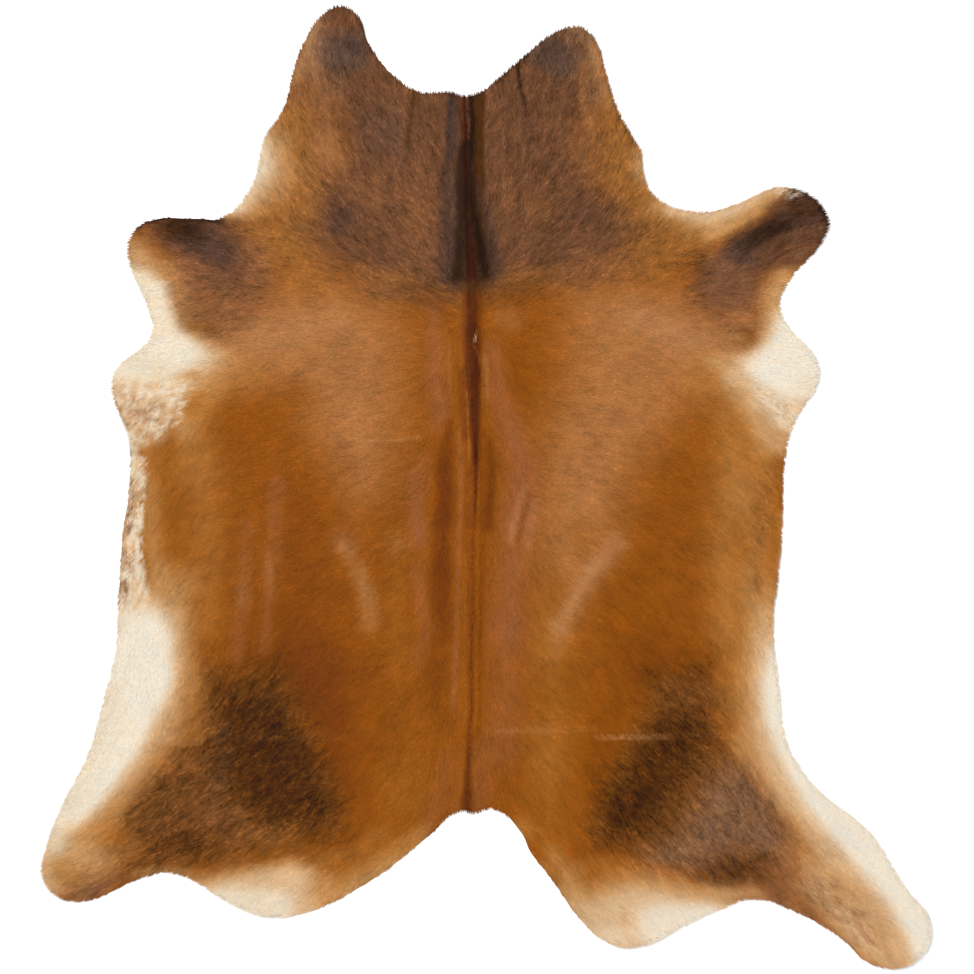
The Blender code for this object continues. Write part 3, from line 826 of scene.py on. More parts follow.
# The hind legs: brown shanks, pale hocks and cream along the outer edge.
HIND_LEGS = (
    Patch(H.FAWN, 0.85, 90, 10, (
        (-890, -790), (-850, -840), (-850, -870), (-900, -960), (-1060, -960), (-1060, -840),
        (-950, -790),
    )),
    Stroke(H.COCOA, 0.8, 20, 14, 40, 6, ((-840, -890), (-900, -925), (-970, -925))),
    Dab(H.IVORY, 0.85, -992, -818, 70, 45, 0, 2),
    Dab(H.WHEAT, 0.6, -935, -820, 50, 35, 0, 4),
    Stroke(H.SAND, 0.8, 14, 12, 34, 2, ((-1005, -820), (-1010, -870), (-1000, -930))),
    Stroke(H.WHEAT, 0.5, 10, 10, 30, 2, ((-800, -885), (-740, -876), (-680, -882))),
    Dab(H.COCOA, 0.45, -900, -885, 50, 30, 0, 6),
    Dab(H.SAND, 0.4, -650, -908, 40, 28, 0, 2),
    Dab(H.WHEAT, 0.45, -295, -905, 50, 35, 0, 2),
    Dab(H.TAUPE, 0.7, -900, -915, 80, 30, -14, 4),
    Dab(H.OCHRE, 0.4, -950, -895, 50, 40, 0, 6),
    Dab(H.WHEAT, 0.6, -990, -915, 50, 40, 0, 4),
    Patch(H.FAWN, 0.9, 60, 6, (
        (-720, -895), (-630, -885), (-540, -865), (-450, -855), (-390, -870), (-330, -890),
        (-240, -840), (-140, -780), (-140, -1000), (-740, -1000),
    )),
    Patch(H.SAND, 0.9, 50, 2, (
        (-660, -925), (-600, -895), (-520, -875), (-450, -860), (-405, -875), (-400, -930),
        (-370, -1000), (-660, -1000),
    )),
    Patch(H.IVORY, 0.95, 45, 2, (
        (-670, -925), (-580, -912), (-500, -915), (-450, -930), (-430, -1000), (-660, -1000),
    )),
    Stroke(H.HONEY, 0.6, 10, 10, 30, 0, ((-340, -905), (-240, -840), (-150, -785))),
    Stroke(H.FAWN, 0.8, 8, 30, 60, 4, ((150, -830), (200, -910), (250, -980))),
    Patch(H.FAWN, 0.9, 60, 6, (
        (200, -930), (260, -895), (340, -885), (440, -905), (540, -920), (620, -935), (600, -1060),
        (220, -1080),
    )),
    Patch(H.SAND, 0.9, 50, 2, (
        (200, -980), (260, -940), (330, -910), (400, -920), (500, -940), (560, -1060), (200, -1080),
    )),
    Patch(H.CREAM, 0.9, 55, 2, (
        (345, -970), (400, -950), (500, -960), (540, -1000), (420, -1060), (350, -1030),
    )),
    Patch(H.WHEAT, 0.97, 70, 10, (
        (720, -840), (780, -860), (860, -930), (930, -1020), (960, -1100), (940, -1140), (860, -1080),
        (790, -1010), (730, -955), (700, -910),
    )),
    Dab(H.TAUPE, 0.5, 690, -890, 80, 70, 0, 10),
    Dab(H.CREAM, 1.0, 522, -975, 90, 45, 0, 2),
    Dab(H.IVORY, 0.55, 295, -1020, 70, 40, 0, 2),
    Stroke(H.WHEAT, 0.5, 12, 10, 30, 2, ((380, -908), (480, -918), (560, -928), (620, -925))),
    Dab(H.WHEAT, 0.6, 175, -925, 55, 55, 0, 2),
    Dab(H.SAND, 0.6, 205, -958, 50, 40, 0, 2),
    Dab(H.FAWN, 0.5, 120, -875, 60, 40, 0, 2),
    Dab(H.HONEY, 0.7, 78, -780, 60, 40, 0, 2),
    Stroke(H.TAN, 0.8, 24, 20, 40, 4, ((600, -925), (680, -950), (760, -985))),
    Stroke(H.TAUPE, 0.6, 16, 8, 36, 6, ((640, -925), (700, -955), (765, -990))),
    Stroke(H.WHEAT, 0.6, 10, 10, 30, 2, ((500, -932), (570, -925), (620, -928))),
    Stroke(H.SAND, 0.3, 16, 14, 40, 2, ((800, -980), (850, -1010), (890, -1050))),
    Stroke(H.TAN, 0.6, 8, 8, 26, 3, ((820, -1060), (860, -1090), (920, -1110))),
    Dab(H.SAND, 0.55, 795, -858, 70, 40, -40, 3),
    Dab(H.TAN, 0.4, 680, -840, 60, 60, 0, 6),
    Stroke(H.PEAT, 0.8, 3, 2, 7, 1, ((565, -885), (600, -860), (660, -838))),
    Speckle(H.COCOA, 0.52, 40, 8, 11, 40, 0.36, (
        (720, -870), (800, -900), (880, -980), (920, -1060), (860, -1080), (760, -1000), (700, -940),
    )),
)

# Small differences of tone over the areas above.
TONES = (
    Dab(H.SAND, 0.35, 835, -1020, 50, 50, 0, 4),
    Dab(H.AMBER, 0.35, -181, -821, 45, 40, 0, 4),
    # Painted shade at the top of the right neck crease.
    Dab(H.PEAT, 0.5, 72, 982, 26, 32, 0, 4),
    Dab(H.SLATE, 0.5, 105, 985, 36, 34, 0, 6),
    Dab(H.SLATE, 0.5, -355, 1005, 38, 40, 0, 6),
    Dab(H.ASH, 0.45, -348, 908, 55, 48, 0, 6),
    Dab(H.ASH, 0.55, 240, 898, 46, 52, 0, 6),
    Dab(H.COCOA, 0.45, -446, 895, 34, 44, 0, 6),
    Dab(H.UMBER, 0.4, -240, 900, 40, 44, 0, 6),
    Dab(H.ASH, 0.28, -890, -852, 85, 50, 0, 6),
    Dab(H.SAND, 0.16, -890, -845, 95, 55, 0, 4),
    Dab(H.TAN, 0.35, 660, -885, 36, 36, 0, 6),
    Dab(H.TAN, 0.35, 672, -770, 34, 34, 0, 6),
    Dab(H.COCOA, 0.28, 780, -942, 32, 32, 0, 6),
    Dab(H.SAND, 0.25, 865, -1022, 34, 34, 0, 6),
    Dab(H.CHESTNUT, 0.4, -532, -372, 50, 40, 0, 8),
    Dab(H.CHESTNUT, 0.4, -85, -20, 26, 60, 0, 4),
    Dab(H.TAN, 0.35, -331, 734, 50, 50, 0, 6),
)

# The painted sheen on the ribs, and painted highlights and shade along the lines where the hide was
# folded.
SHEEN = (
    Dab(H.ROSE_SHEEN, 0.5, -320, -125, 60, 60, 30, 6),
    Dab(H.BLUSH_SHEEN, 0.3, -328, -130, 36, 50, 30, 6),
    Stroke(H.BLUSH_SHEEN, 0.5, 13, 20, 34, 7, ((-318, -140), (-298, -175), (-276, -235), (-266, -310))),
    Dab(H.SAND, 0.12, -276, -235, 28, 70, 14, 6),
    Dab(H.TAN, 0.45, -205, -130, 45, 50, 0, 6),
    Stroke(H.ROSE_SHEEN, 0.55, 12, 14, 28, 6, ((-172, 30), (-165, -40), (-146, -120))),
    Stroke(H.ROSE_SHEEN, 0.45, 12, 16, 30, 7, ((-160, -190), (-146, -270), (-130, -325), (-158, -395))),
    Stroke(H.BLUSH_SHEEN, 0.58, 27, 16, 32, 6, ((292, -130), (256, -180), (208, -245), (166, -320))),
    Dab(H.ROSE_SHEEN, 0.35, 270, -140, 60, 50, -48, 6),
    Dab(H.SAND, 0.12, 250, -180, 26, 70, -48, 6),
    Dab(H.SAND, 0.1, 190, -270, 22, 60, -35, 6),
    Dab(H.BLUSH_SHEEN, 0.6, 162, -318, 34, 45, 0, 4),
    Stroke(H.TAN, 0.5, 13, 10, 34, 4, ((174, -310), (163, -350), (158, -385))),
    Stroke(H.ROSE_SHEEN, 0.55, 9, 16, 30, 8, ((-543, -80), (-553, -220), (-568, -380))),
    Stroke(H.ROSE_SHEEN, 0.62, 18, 13, 34, 8, ((-478, 10), (-485, -150), (-505, -370))),
    Dab(H.BLUSH_SHEEN, 0.3, -553, -235, 26, 55, 0, 7),
    Dab(H.BLUSH_SHEEN, 0.28, -492, -195, 26, 70, 6, 7),
    # Painted highlights along the ridges of the folds, and painted shade in their troughs.
    Stroke(H.BLUSH_SHEEN, 0.85, 2, 2, 6, 0, ((250, -571), (330, -570), (420, -570))),
    Stroke(H.SAND, 0.25, 1, 1, 5, 0, ((280, -571), (330, -570), (390, -570))),
    Stroke(H.BLUSH_SHEEN, 0.35, 1, 2, 7, 0, ((405, -566), (500, -564), (620, -565))),
    Stroke(H.BLUSH_SHEEN, 0.4, 3, 2, 8, 0, ((0, -558), (120, -555), (250, -551))),
    Stroke(H.WHEAT, 0.4, 2, 3, 8, 0, ((-810, -587), (-720, -584), (-650, -581))),
    Stroke(H.CHESTNUT, 0.4, 3, 4, 10, 0, ((-760, -597), (-680, -594), (-600, -590))),
    Stroke(H.COCOA, 0.45, 2, 2, 8, 0, ((-570, -576), (-450, -572), (-300, -566))),
    Stroke(H.BLUSH_SHEEN, 0.55, 3, 3, 10, 0, ((-310, 108), (-240, 106), (-150, 111))),
    Stroke(H.BLUSH_SHEEN, 0.25, 3, 3, 10, 0, ((150, 128), (240, 131))),
)

MARKINGS = (
    BARREL + BACK + NECK + FORE_LEGS + ELBOWS + HIPS + FLANKS + HIND_LEGS + TONES + SHEEN
)


@dataclass
class Markings:
    """The coat's colours, painted in order over one base colour."""

    base: Hair = Hair.RUSSET
    marks: tuple = MARKINGS
    drift: float = 0.003
    drift_size: float = 0.055
    fleck_size: float = 0.0042
    fleck_gain: float = 1.5

    def at(self, places: np.ndarray) -> tuple[np.ndarray, np.ndarray]:
        """Works out the hair's colour at places on the hide.

        Args:
            places: an N by 2 array of right and ahead, in metres.

        Returns:
            Colours as the eye steps through them, N by 3 from 0 to 1, and how mottled the locks are.
        """
        right, ahead = places.T
        drift = self.drift * np.column_stack([
            Mottle(Seed.DRIFT_RIGHT).at(right, ahead, self.drift_size),
            Mottle(Seed.DRIFT_AHEAD).at(right, ahead, self.drift_size),
        ])
        drifted = (places + drift) * MILLIMETRES
        flecks = Mottle(Seed.FLECKS).at(right, ahead, self.fleck_size) * self.fleck_gain
        colour = np.tile(self.base.value.code(), (len(places), 1))
        grain = np.full(len(places), self.base.value.grain)
        for mark in self.marks:
            points = np.array(mark.points())
            low, high = points.min(0) - mark.reach(), points.max(0) + mark.reach()
            near = np.flatnonzero(np.all((drifted > low) & (drifted < high), axis=1))
            if len(near) == 0:
                continue
            share = mark.strength * mark.cover(drifted[near], flecks[near])
            colour[near] += share[:, None] * (mark.hair.value.code() - colour[near])
            grain[near] += share * (mark.hair.value.grain - grain[near])
        return colour, grain


class Comb(NamedTuple):
    """How the hair lies at one place: its heading in degrees left of +X, and its length."""

    right: float
    ahead: float
    heading: float
    length: float


# Places and lengths in millimetres, from the middle of the hide.
COMBING = (
    Comb(-45, 880, 92, 11), Comb(-45, 700, 92, 12), Comb(-40, 540, 92, 13), Comb(-30, 280, -90, 14),
    Comb(-28, 50, -90, 14), Comb(-30, -250, -90, 14), Comb(-35, -550, -90, 14),
    Comb(-130, 800, 115, 12), Comb(-150, 600, 128, 14), Comb(-280, 620, 132, 14),
    Comb(-250, 820, 122, 12), Comb(-330, 1020, 98, 11), Comb(-420, 850, 105, 13),
    Comb(-470, 680, 122, 16), Comb(-300, 500, 150, 14), Comb(-120, 450, 155, 14), Comb(50, 800, 70, 12),
    Comb(70, 600, 52, 14), Comb(200, 620, 45, 14), Comb(180, 820, 60, 12), Comb(200, 1000, 80, 11),
    Comb(300, 800, 76, 13), Comb(200, 500, 28, 14), Comb(60, 450, 25, 14), Comb(360, 620, 52, 15),
    Comb(-400, 420, 178, 14), Comb(-200, 340, 186, 14), Comb(-220, 180, 192, 14),
    Comb(-450, 220, 193, 14), Comb(-250, 0, 200, 14), Comb(-500, 0, 202, 15), Comb(-720, 50, 236, 17),
    Comb(-800, -100, 244, 13), Comb(-300, -300, 212, 15), Comb(-550, -300, 220, 16),
    Comb(-680, -380, 240, 18), Comb(-800, -420, 250, 22), Comb(-180, -520, 226, 15),
    Comb(-450, -550, 220, 12), Comb(-600, -700, 214, 12), Comb(-800, -760, 214, 19),
    Comb(-940, -870, 212, 19), Comb(-860, -620, 236, 22), Comb(-480, -900, 220, 20),
    Comb(-250, -820, 226, 16), Comb(150, 340, -6, 14), Comb(360, 420, 2, 14), Comb(150, 180, -12, 14),
    Comb(400, 220, -13, 14), Comb(200, 0, -20, 14), Comb(450, 0, -22, 15), Comb(620, 20, -50, 17),
    Comb(250, -300, -32, 15), Comb(450, -300, -40, 16), Comb(610, -380, -62, 18),
    Comb(140, -520, -46, 15), Comb(380, -550, -42, 12), Comb(520, -720, -48, 12),
    Comb(660, -850, -44, 19), Comb(800, -940, -40, 21), Comb(940, -1040, -44, 21),
    Comb(700, -660, -54, 20), Comb(860, -840, -42, 22), Comb(340, -970, -42, 21),
    Comb(160, -820, -50, 16), Comb(-560, 500, 168, 14), Comb(-680, 570, 172, 14),
    Comb(-790, 550, 184, 14), Comb(-620, 400, 196, 14), Comb(-740, 420, 200, 18),
    Comb(-720, 300, 200, 19), Comb(-800, 180, 216, 10), Comb(500, 500, 22, 14), Comb(620, 570, 30, 14),
    Comb(750, 620, 24, 14), Comb(560, 380, -8, 14), Comb(690, 280, -18, 19), Comb(690, 170, -40, 18),
)


@dataclass
class Combing:
    """How the coat lies over the whole hide: out from the withers, then down to the feet."""

    combs: tuple = COMBING
    spread: float = 0.05
    falloff: float = 2.0
    batch: int = 40000

    def at(self, places: np.ndarray) -> tuple[np.ndarray, np.ndarray]:
        """Blends the nearest combings.

        Args:
            places: an N by 2 array of right and ahead, in metres.

        Returns:
            Unit directions on the floor plane, N by 2, and the hair's length, N values.
        """
        table = np.array(self.combs)
        spots = table[None, :, :2] / MILLIMETRES
        headings = np.radians(table[:, 2])
        ways = np.column_stack([np.cos(headings), np.sin(headings)])
        direction = np.empty_like(places)
        length = np.empty(len(places))
        for first in range(0, len(places), self.batch):
            part = slice(first, first + self.batch)
            gaps = ((places[part, None, :] - spots) ** 2).sum(-1)
            weights = (gaps + self.spread**2) ** -self.falloff
            weights /= weights.sum(1, keepdims=True)
            direction[part] = weights @ ways
            length[part] = weights @ (table[:, 3] / MILLIMETRES)
        direction /= np.maximum(np.linalg.norm(direction, axis=1, keepdims=True), TINY)
        return direction, length


@dataclass
class Chart:
    """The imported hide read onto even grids: the height of its underside and how deep inside its rim.

    A face is part of the upper side where its normal rises above upward, and a depth or a share
    under least counts as none.
    """

    node: str = NODE
    pitch: float = 0.005
    margin: float = 0.040
    soften: float = 0.009
    join_within: float = 1e-5
    upward: float = 0.5
    least: float = 1e-4
    rim: np.ndarray = field(init=False, repr=False)
    low: np.ndarray = field(init=False, repr=False)
    lift_grid: np.ndarray = field(init=False, repr=False)
    depth_grid: np.ndarray = field(init=False, repr=False)

    def __post_init__(self) -> None:
        """Reads the node once."""
        mesh = bmesh.new()
        mesh.from_mesh(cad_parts[self.node].data)
        bmesh.ops.remove_doubles(mesh, verts=mesh.verts, dist=self.join_within)
        mesh.normal_update()
        self.rim = self.trace_rim(mesh)
        solid = BVHTree.FromBMesh(mesh)
        mesh.free()
        corner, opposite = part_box(self.node)
        self.low = np.array(corner[:2]) - self.margin
        high = np.array(opposite[:2]) + self.margin
        columns, rows = np.ceil((high - self.low) / self.pitch).astype(int) + 1
        self.read_depth(columns, rows)
        self.read_lift(columns, rows, solid, high=opposite[2])

    def trace_rim(self, mesh: bmesh.types.BMesh) -> np.ndarray:
        """Follows the edge of the hide's upper face, left about the hide.

        Args:
            mesh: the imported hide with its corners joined.

        Returns:
            The rim's turns as right and ahead, without repeating the first.
        """
        follow = {}
        for edge in mesh.edges:
            above = [loop for loop in edge.link_loops if loop.face.normal.z > self.upward]
            if len(above) == 1:
                start, end = above[0].vert, above[0].link_loop_next.vert
                follow[start.index] = (end.index, start.co.xy.copy())
        first = next(iter(follow))
        here, turns = first, []
        while True:
            here, place = follow[here]
            turns.append(tuple(place))
            if here == first:
                return np.array(turns)

    def read_depth(self, columns: int, rows: int) -> None:
        """Measures every grid point's distance to the rim, positive within.

        Args:
            columns: grid points along X.
            rows: grid points along Y.
        """
        count = len(self.rim)
        walls = [Vector((x, y, z)) for z in (-1.0, 1.0) for x, y in self.rim]
        sides = [(i, (i + 1) % count, count + (i + 1) % count, count + i) for i in range(count)]
        fence = BVHTree.FromPolygons(walls, sides)
        places = self.grid_places(columns, rows)
        gaps = np.array([fence.find_nearest((x, y, 0.0))[3] for x, y in places])
        self.depth_grid = np.where(inside(places, self.rim), gaps, -gaps).reshape(rows, columns)

    def read_lift(self, columns: int, rows: int, solid: BVHTree, high: float) -> None:
        """Feels the underside from below and evens out its facets.

        Args:
            columns: grid points along X.
            rows: grid points along Y.
            solid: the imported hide.
            high: a height above the hide.
        """
        heights = np.zeros(rows * columns)
        known = np.zeros(rows * columns)
        up = Vector((0.0, 0.0, 1.0))
        within = np.flatnonzero(self.depth_grid.ravel() > self.least)
        for index, (x, y) in zip(within, self.grid_places(columns, rows)[within]):
            hit = solid.ray_cast((x, y, -high), up)[0]
            if hit is not None:
                heights[index] = max(0.0, hit.z)
                known[index] = 1.0
        blurred = self.blur(heights.reshape(rows, columns))
        share = self.blur(known.reshape(rows, columns))
        self.lift_grid = blurred / np.maximum(share, TINY) * (share > self.least)

    def blur(self, grid: np.ndarray) -> np.ndarray:
        """Softens a grid over about the soften distance."""
        reach = int(3 * self.soften / self.pitch)
        taps = np.exp(-0.5 * (np.arange(-reach, reach + 1) * self.pitch / self.soften) ** 2)
        taps /= taps.sum()
        for axis in (0, 1):
            grid = sum(tap * np.roll(grid, shift, axis) for shift, tap in enumerate(taps, -reach))
        return grid

    def grid_places(self, columns: int, rows: int) -> np.ndarray:
        """Every grid point's right and ahead, row by row."""
        right, ahead = np.meshgrid(np.arange(columns), np.arange(rows))
        return self.low + self.pitch * np.column_stack([right.ravel(), ahead.ravel()])

    def read(self, grid: np.ndarray, places: np.ndarray) -> np.ndarray:
        """Reads a grid between its points.

        Args:
            grid: the lift or the depth grid.
            places: an N by 2 array of right and ahead.

        Returns:
            One value for each place.
        """
        at = np.clip((places - self.low) / self.pitch, 0.0, np.array(grid.shape[::-1]) - 1.001)
        cell = at.astype(int)
        s, t = (at - cell).T
        column, row = cell.T
        near = grid[row, column] * (1 - s) + grid[row, column + 1] * s
        far = grid[row + 1, column] * (1 - s) + grid[row + 1, column + 1] * s
        return near * (1 - t) + far * t

    def lift(self, places: np.ndarray) -> np.ndarray:
        """How high the underside lies over the floor."""
        return self.read(self.lift_grid, places)

    def depth(self, places: np.ndarray) -> np.ndarray:
        """How far inside the rim each place is, negative outside."""
        return self.read(self.depth_grid, places)

    def outward(self, places: np.ndarray) -> np.ndarray:
        """Unit directions from each place towards the nearest rim."""
        step = np.array([[self.pitch, 0.0], [0.0, self.pitch]])
        slope = np.column_stack([self.depth(places - s) - self.depth(places + s) for s in step])
        return slope / np.maximum(np.linalg.norm(slope, axis=1, keepdims=True), TINY)


class Crease(NamedTuple):
    """A soft ridge, or a trough where its height is below zero, pressed into the leather."""

    height: float
    reach: float
    path: tuple


# Heights, reaches and places in millimetres, from the middle of the hide.
CREASES = (
    Crease(-1.2, 8, ((-45, 920), (-42, 620), (-34, 380), (-27, 80))),
    Crease(-0.8, 7, ((-27, 80), (-31, -300), (-38, -580), (-44, -740))),
    Crease(-1.6, 6, ((77, 985), (82, 920), (90, 850))),
    Crease(-1, 7, ((-164, 900), (-170, 840), (-178, 770))),
    Crease(-0.9, 8, ((103, -5), (88, -60), (68, -130))),
    Crease(1, 16, ((-340, -100), (-315, -160), (-282, -220), (-268, -320))),
    Crease(1.2, 18, ((315, -115), (265, -165), (210, -240), (165, -320))),
    Crease(0.8, 6, ((265, -571), (330, -570), (405, -571), (620, -565))),
    Crease(0.6, 8, ((0, -558), (120, -555), (250, -551))),
    Crease(-0.6, 8, ((-780, -580), (-600, -576), (-360, -571), (-100, -570))),
    Crease(0.6, 9, ((-390, 108), (-240, 106), (-150, 111))),
    Crease(0.5, 9, ((120, 128), (330, 126))),
    Crease(0.8, 18, ((-545, -80), (-553, -220), (-572, -380))),
    Crease(0.8, 16, ((-485, -10), (-488, -200), (-500, -370))),
)


@dataclass
class Relief:
    """The leather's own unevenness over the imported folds: its creases and a slight ripple."""

    creases: tuple = CREASES
    fade: float = 0.05
    ripple: float = 0.0003
    ripple_size: float = 0.045

    def at(self, places: np.ndarray) -> np.ndarray:
        """How far the leather stands above its even face.

        Args:
            places: an N by 2 array of right and ahead.

        Returns:
            One height for each place, in metres.
        """
        right, ahead = places.T
        height = self.ripple * Mottle(Seed.RIPPLE).at(right, ahead, self.ripple_size)
        for crease in self.creases:
            path = np.array(crease.path) / MILLIMETRES
            reach = crease.reach / MILLIMETRES
            low, high = path.min(0) - reach, path.max(0) + reach
            near = np.flatnonzero(np.all((places > low) & (places < high), axis=1))
            gap, share = along_segments(places[near], path)
            whole = np.linalg.norm(np.diff(path, axis=0), axis=1).sum()
            ends = ease(np.minimum(share, 1.0 - share) * whole / self.fade)
            height[near] += crease.height / MILLIMETRES * ease(1.0 - gap / reach) * ends
        return height


def new_mesh(name: str, places: np.ndarray, faces: np.ndarray) -> bpy.types.Mesh:
    """Makes a mesh of triangles that light rolls over.

    Args:
        name: the mesh's name.
        places: the corners, V by 3.
        faces: corner numbers, F by 3, each seen from outside turning left.

    Returns:
        The mesh.
    """
    mesh = bpy.data.meshes.new(name)
    mesh.vertices.add(len(places))
    mesh.vertices.foreach_set("co", places.astype(np.float32).ravel())
    mesh.loops.add(faces.size)
    mesh.loops.foreach_set("vertex_index", faces.astype(np.int32).ravel())
    mesh.polygons.add(len(faces))
    mesh.polygons.foreach_set("loop_start", np.arange(0, faces.size, 3, dtype=np.int32))
    mesh.polygons.foreach_set("use_smooth", np.ones(len(faces), bool))
    mesh.update(calc_edges=True)
    return mesh


def face_ways(mesh: bpy.types.Mesh, normals: np.ndarray) -> None:
    """Sets the way that light sees each corner face.

    Args:
        mesh: the mesh.
        normals: one direction for each corner, V by 3.
    """
    unit = normals / np.linalg.norm(normals, axis=1, keepdims=True)
    mesh.normals_split_custom_set_from_vertices(unit.astype(np.float32))


def paint_points(mesh: bpy.types.Mesh, name: str, colours: np.ndarray) -> None:
    """Gives a mesh a colour at each corner.

    Args:
        mesh: the mesh.
        name: the colour layer's name.
        colours: linear colours, V by 3.
    """
    layer = mesh.color_attributes.new(name=name, type="FLOAT_COLOR", domain="POINT")
    full = np.column_stack([colours, np.ones(len(colours))]).astype(np.float32)
    layer.data.foreach_set("color", full.ravel())


def map_corners(mesh: bpy.types.Mesh, name: str, flat: np.ndarray, faces: np.ndarray) -> None:
    """Gives a mesh a flat map, corner by corner.

    Args:
        mesh: the mesh.
        name: the map's name.
        flat: places on the map, V by 2, or F by 3 by 2.
        faces: corner numbers, F by 3.
    """
    layer = mesh.uv_layers.new(name=name)
    values = flat[faces] if flat.ndim == 2 else flat
    layer.uv.foreach_set("vector", values.astype(np.float32).ravel())


def place_piece(name: str, mesh: bpy.types.Mesh, *materials: bpy.types.Material) -> bpy.types.Object:
    """Puts a mesh into the scene as a piece of the hide.

    Args:
        name: the piece's name.
        mesh: its mesh.
        materials: its finishes, in slot order.

    Returns:
        The piece, riding on the hide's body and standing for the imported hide.
    """
    for material in materials:
        mesh.materials.append(material)
    piece = bpy.data.objects.new(name, mesh)
    bpy.context.scene.collection.objects.link(piece)
    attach(piece, BODY)
    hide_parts(NODE)
    return piece


@dataclass
class NodeBench:
    """A material's nodes, added and joined one at a time."""

    material: bpy.types.Material

    @classmethod
    def fresh(cls, name: str) -> "NodeBench":
        """Starts a material with nothing in it."""
        material = bpy.data.materials.new(name)
        material.use_nodes = True
        material.node_tree.nodes.clear()
        return cls(material)

    def add(self, kind: str, **inputs: object) -> bpy.types.Node:
        """Adds a node.

        Args:
            kind: the node's type.
            inputs: values for its properties or, with underscores for spaces, its sockets.

        Returns:
            The node.
        """
        node = self.material.node_tree.nodes.new(kind)
        for name, value in inputs.items():
            if hasattr(node, name):
                setattr(node, name, value)
            else:
                node.inputs[name.replace("_", " ")].default_value = value
        return node

    def join(self, source: bpy.types.NodeSocket, target: bpy.types.NodeSocket) -> None:
        """Links two sockets."""
        self.material.node_tree.links.new(source, target)

    def finish(self, shader: bpy.types.Node) -> bpy.types.Material:
        """Sends a shader to the surface and hands the material over."""
        output = self.add("ShaderNodeOutputMaterial")
        self.join(shader.outputs[0], output.inputs["Surface"])
        return self.material


@dataclass(frozen=True)
class HairFinish:
    """Short combed hair: a soft satin that takes its colour from the coat's own layer."""

    name: str = "combed_hair"
    colour_layer: str = "coat_colour"
    strand_map: str = "strand"
    strands: float = 1.6
    strand_detail: float = 3.0
    strand_break: float = 0.6
    strand_depth: float = 0.00025
    strand_bump: float = 0.5
    noise_range: tuple = (0.3, 0.7)
    streak: float = 0.26
    roughness: tuple = (0.42, 0.58)
    specular: float = 0.12
    gloss_tint: tuple = (1.0, 0.70, 0.42, 1.0)
    sheen: float = 0.02
    sheen_roughness: float = 0.5

    def material(self) -> bpy.types.Material:
        """Builds the finish."""
        bench = NodeBench.fresh(self.name)
        layer = bench.add("ShaderNodeAttribute", attribute_name=self.colour_layer)
        strand = bench.add("ShaderNodeUVMap", uv_map=self.strand_map)
        fine = bench.add(
            "ShaderNodeTexNoise",
            Scale=self.strands,
            Detail=self.strand_detail,
            Roughness=self.strand_break,
        )
        low, high = self.noise_range
        bench.join(strand.outputs["UV"], fine.inputs["Vector"])
        tint = bench.add("ShaderNodeMapRange", From_Min=low, From_Max=high)
        tint.inputs["To Min"].default_value = 1.0 - self.streak
        tint.inputs["To Max"].default_value = 1.0 + self.streak
        bench.join(fine.outputs["Fac"], tint.inputs["Value"])
        colour = bench.add("ShaderNodeVectorMath", operation="SCALE")
        bench.join(layer.outputs["Color"], colour.inputs[0])
        bench.join(tint.outputs["Result"], colour.inputs["Scale"])
        rough = bench.add("ShaderNodeMapRange", From_Min=low, From_Max=high)
        rough.inputs["To Min"].default_value = self.roughness[1]
        rough.inputs["To Max"].default_value = self.roughness[0]
        bench.join(fine.outputs["Fac"], rough.inputs["Value"])
        bump = bench.add("ShaderNodeBump", Strength=self.strand_bump, Distance=self.strand_depth)
        bench.join(fine.outputs["Fac"], bump.inputs["Height"])
        shader = bench.add("ShaderNodeBsdfPrincipled", Specular_IOR_Level=self.specular)
        shader.inputs["Specular Tint"].default_value = self.gloss_tint
        shader.inputs["Sheen Weight"].default_value = self.sheen
        shader.inputs["Sheen Tint"].default_value = self.gloss_tint
        shader.inputs["Sheen Roughness"].default_value = self.sheen_roughness
        bench.join(colour.outputs["Vector"], shader.inputs["Base Color"])
        bench.join(rough.outputs["Result"], shader.inputs["Roughness"])
        bench.join(bump.outputs["Normal"], shader.inputs["Normal"])
        return bench.finish(shader)


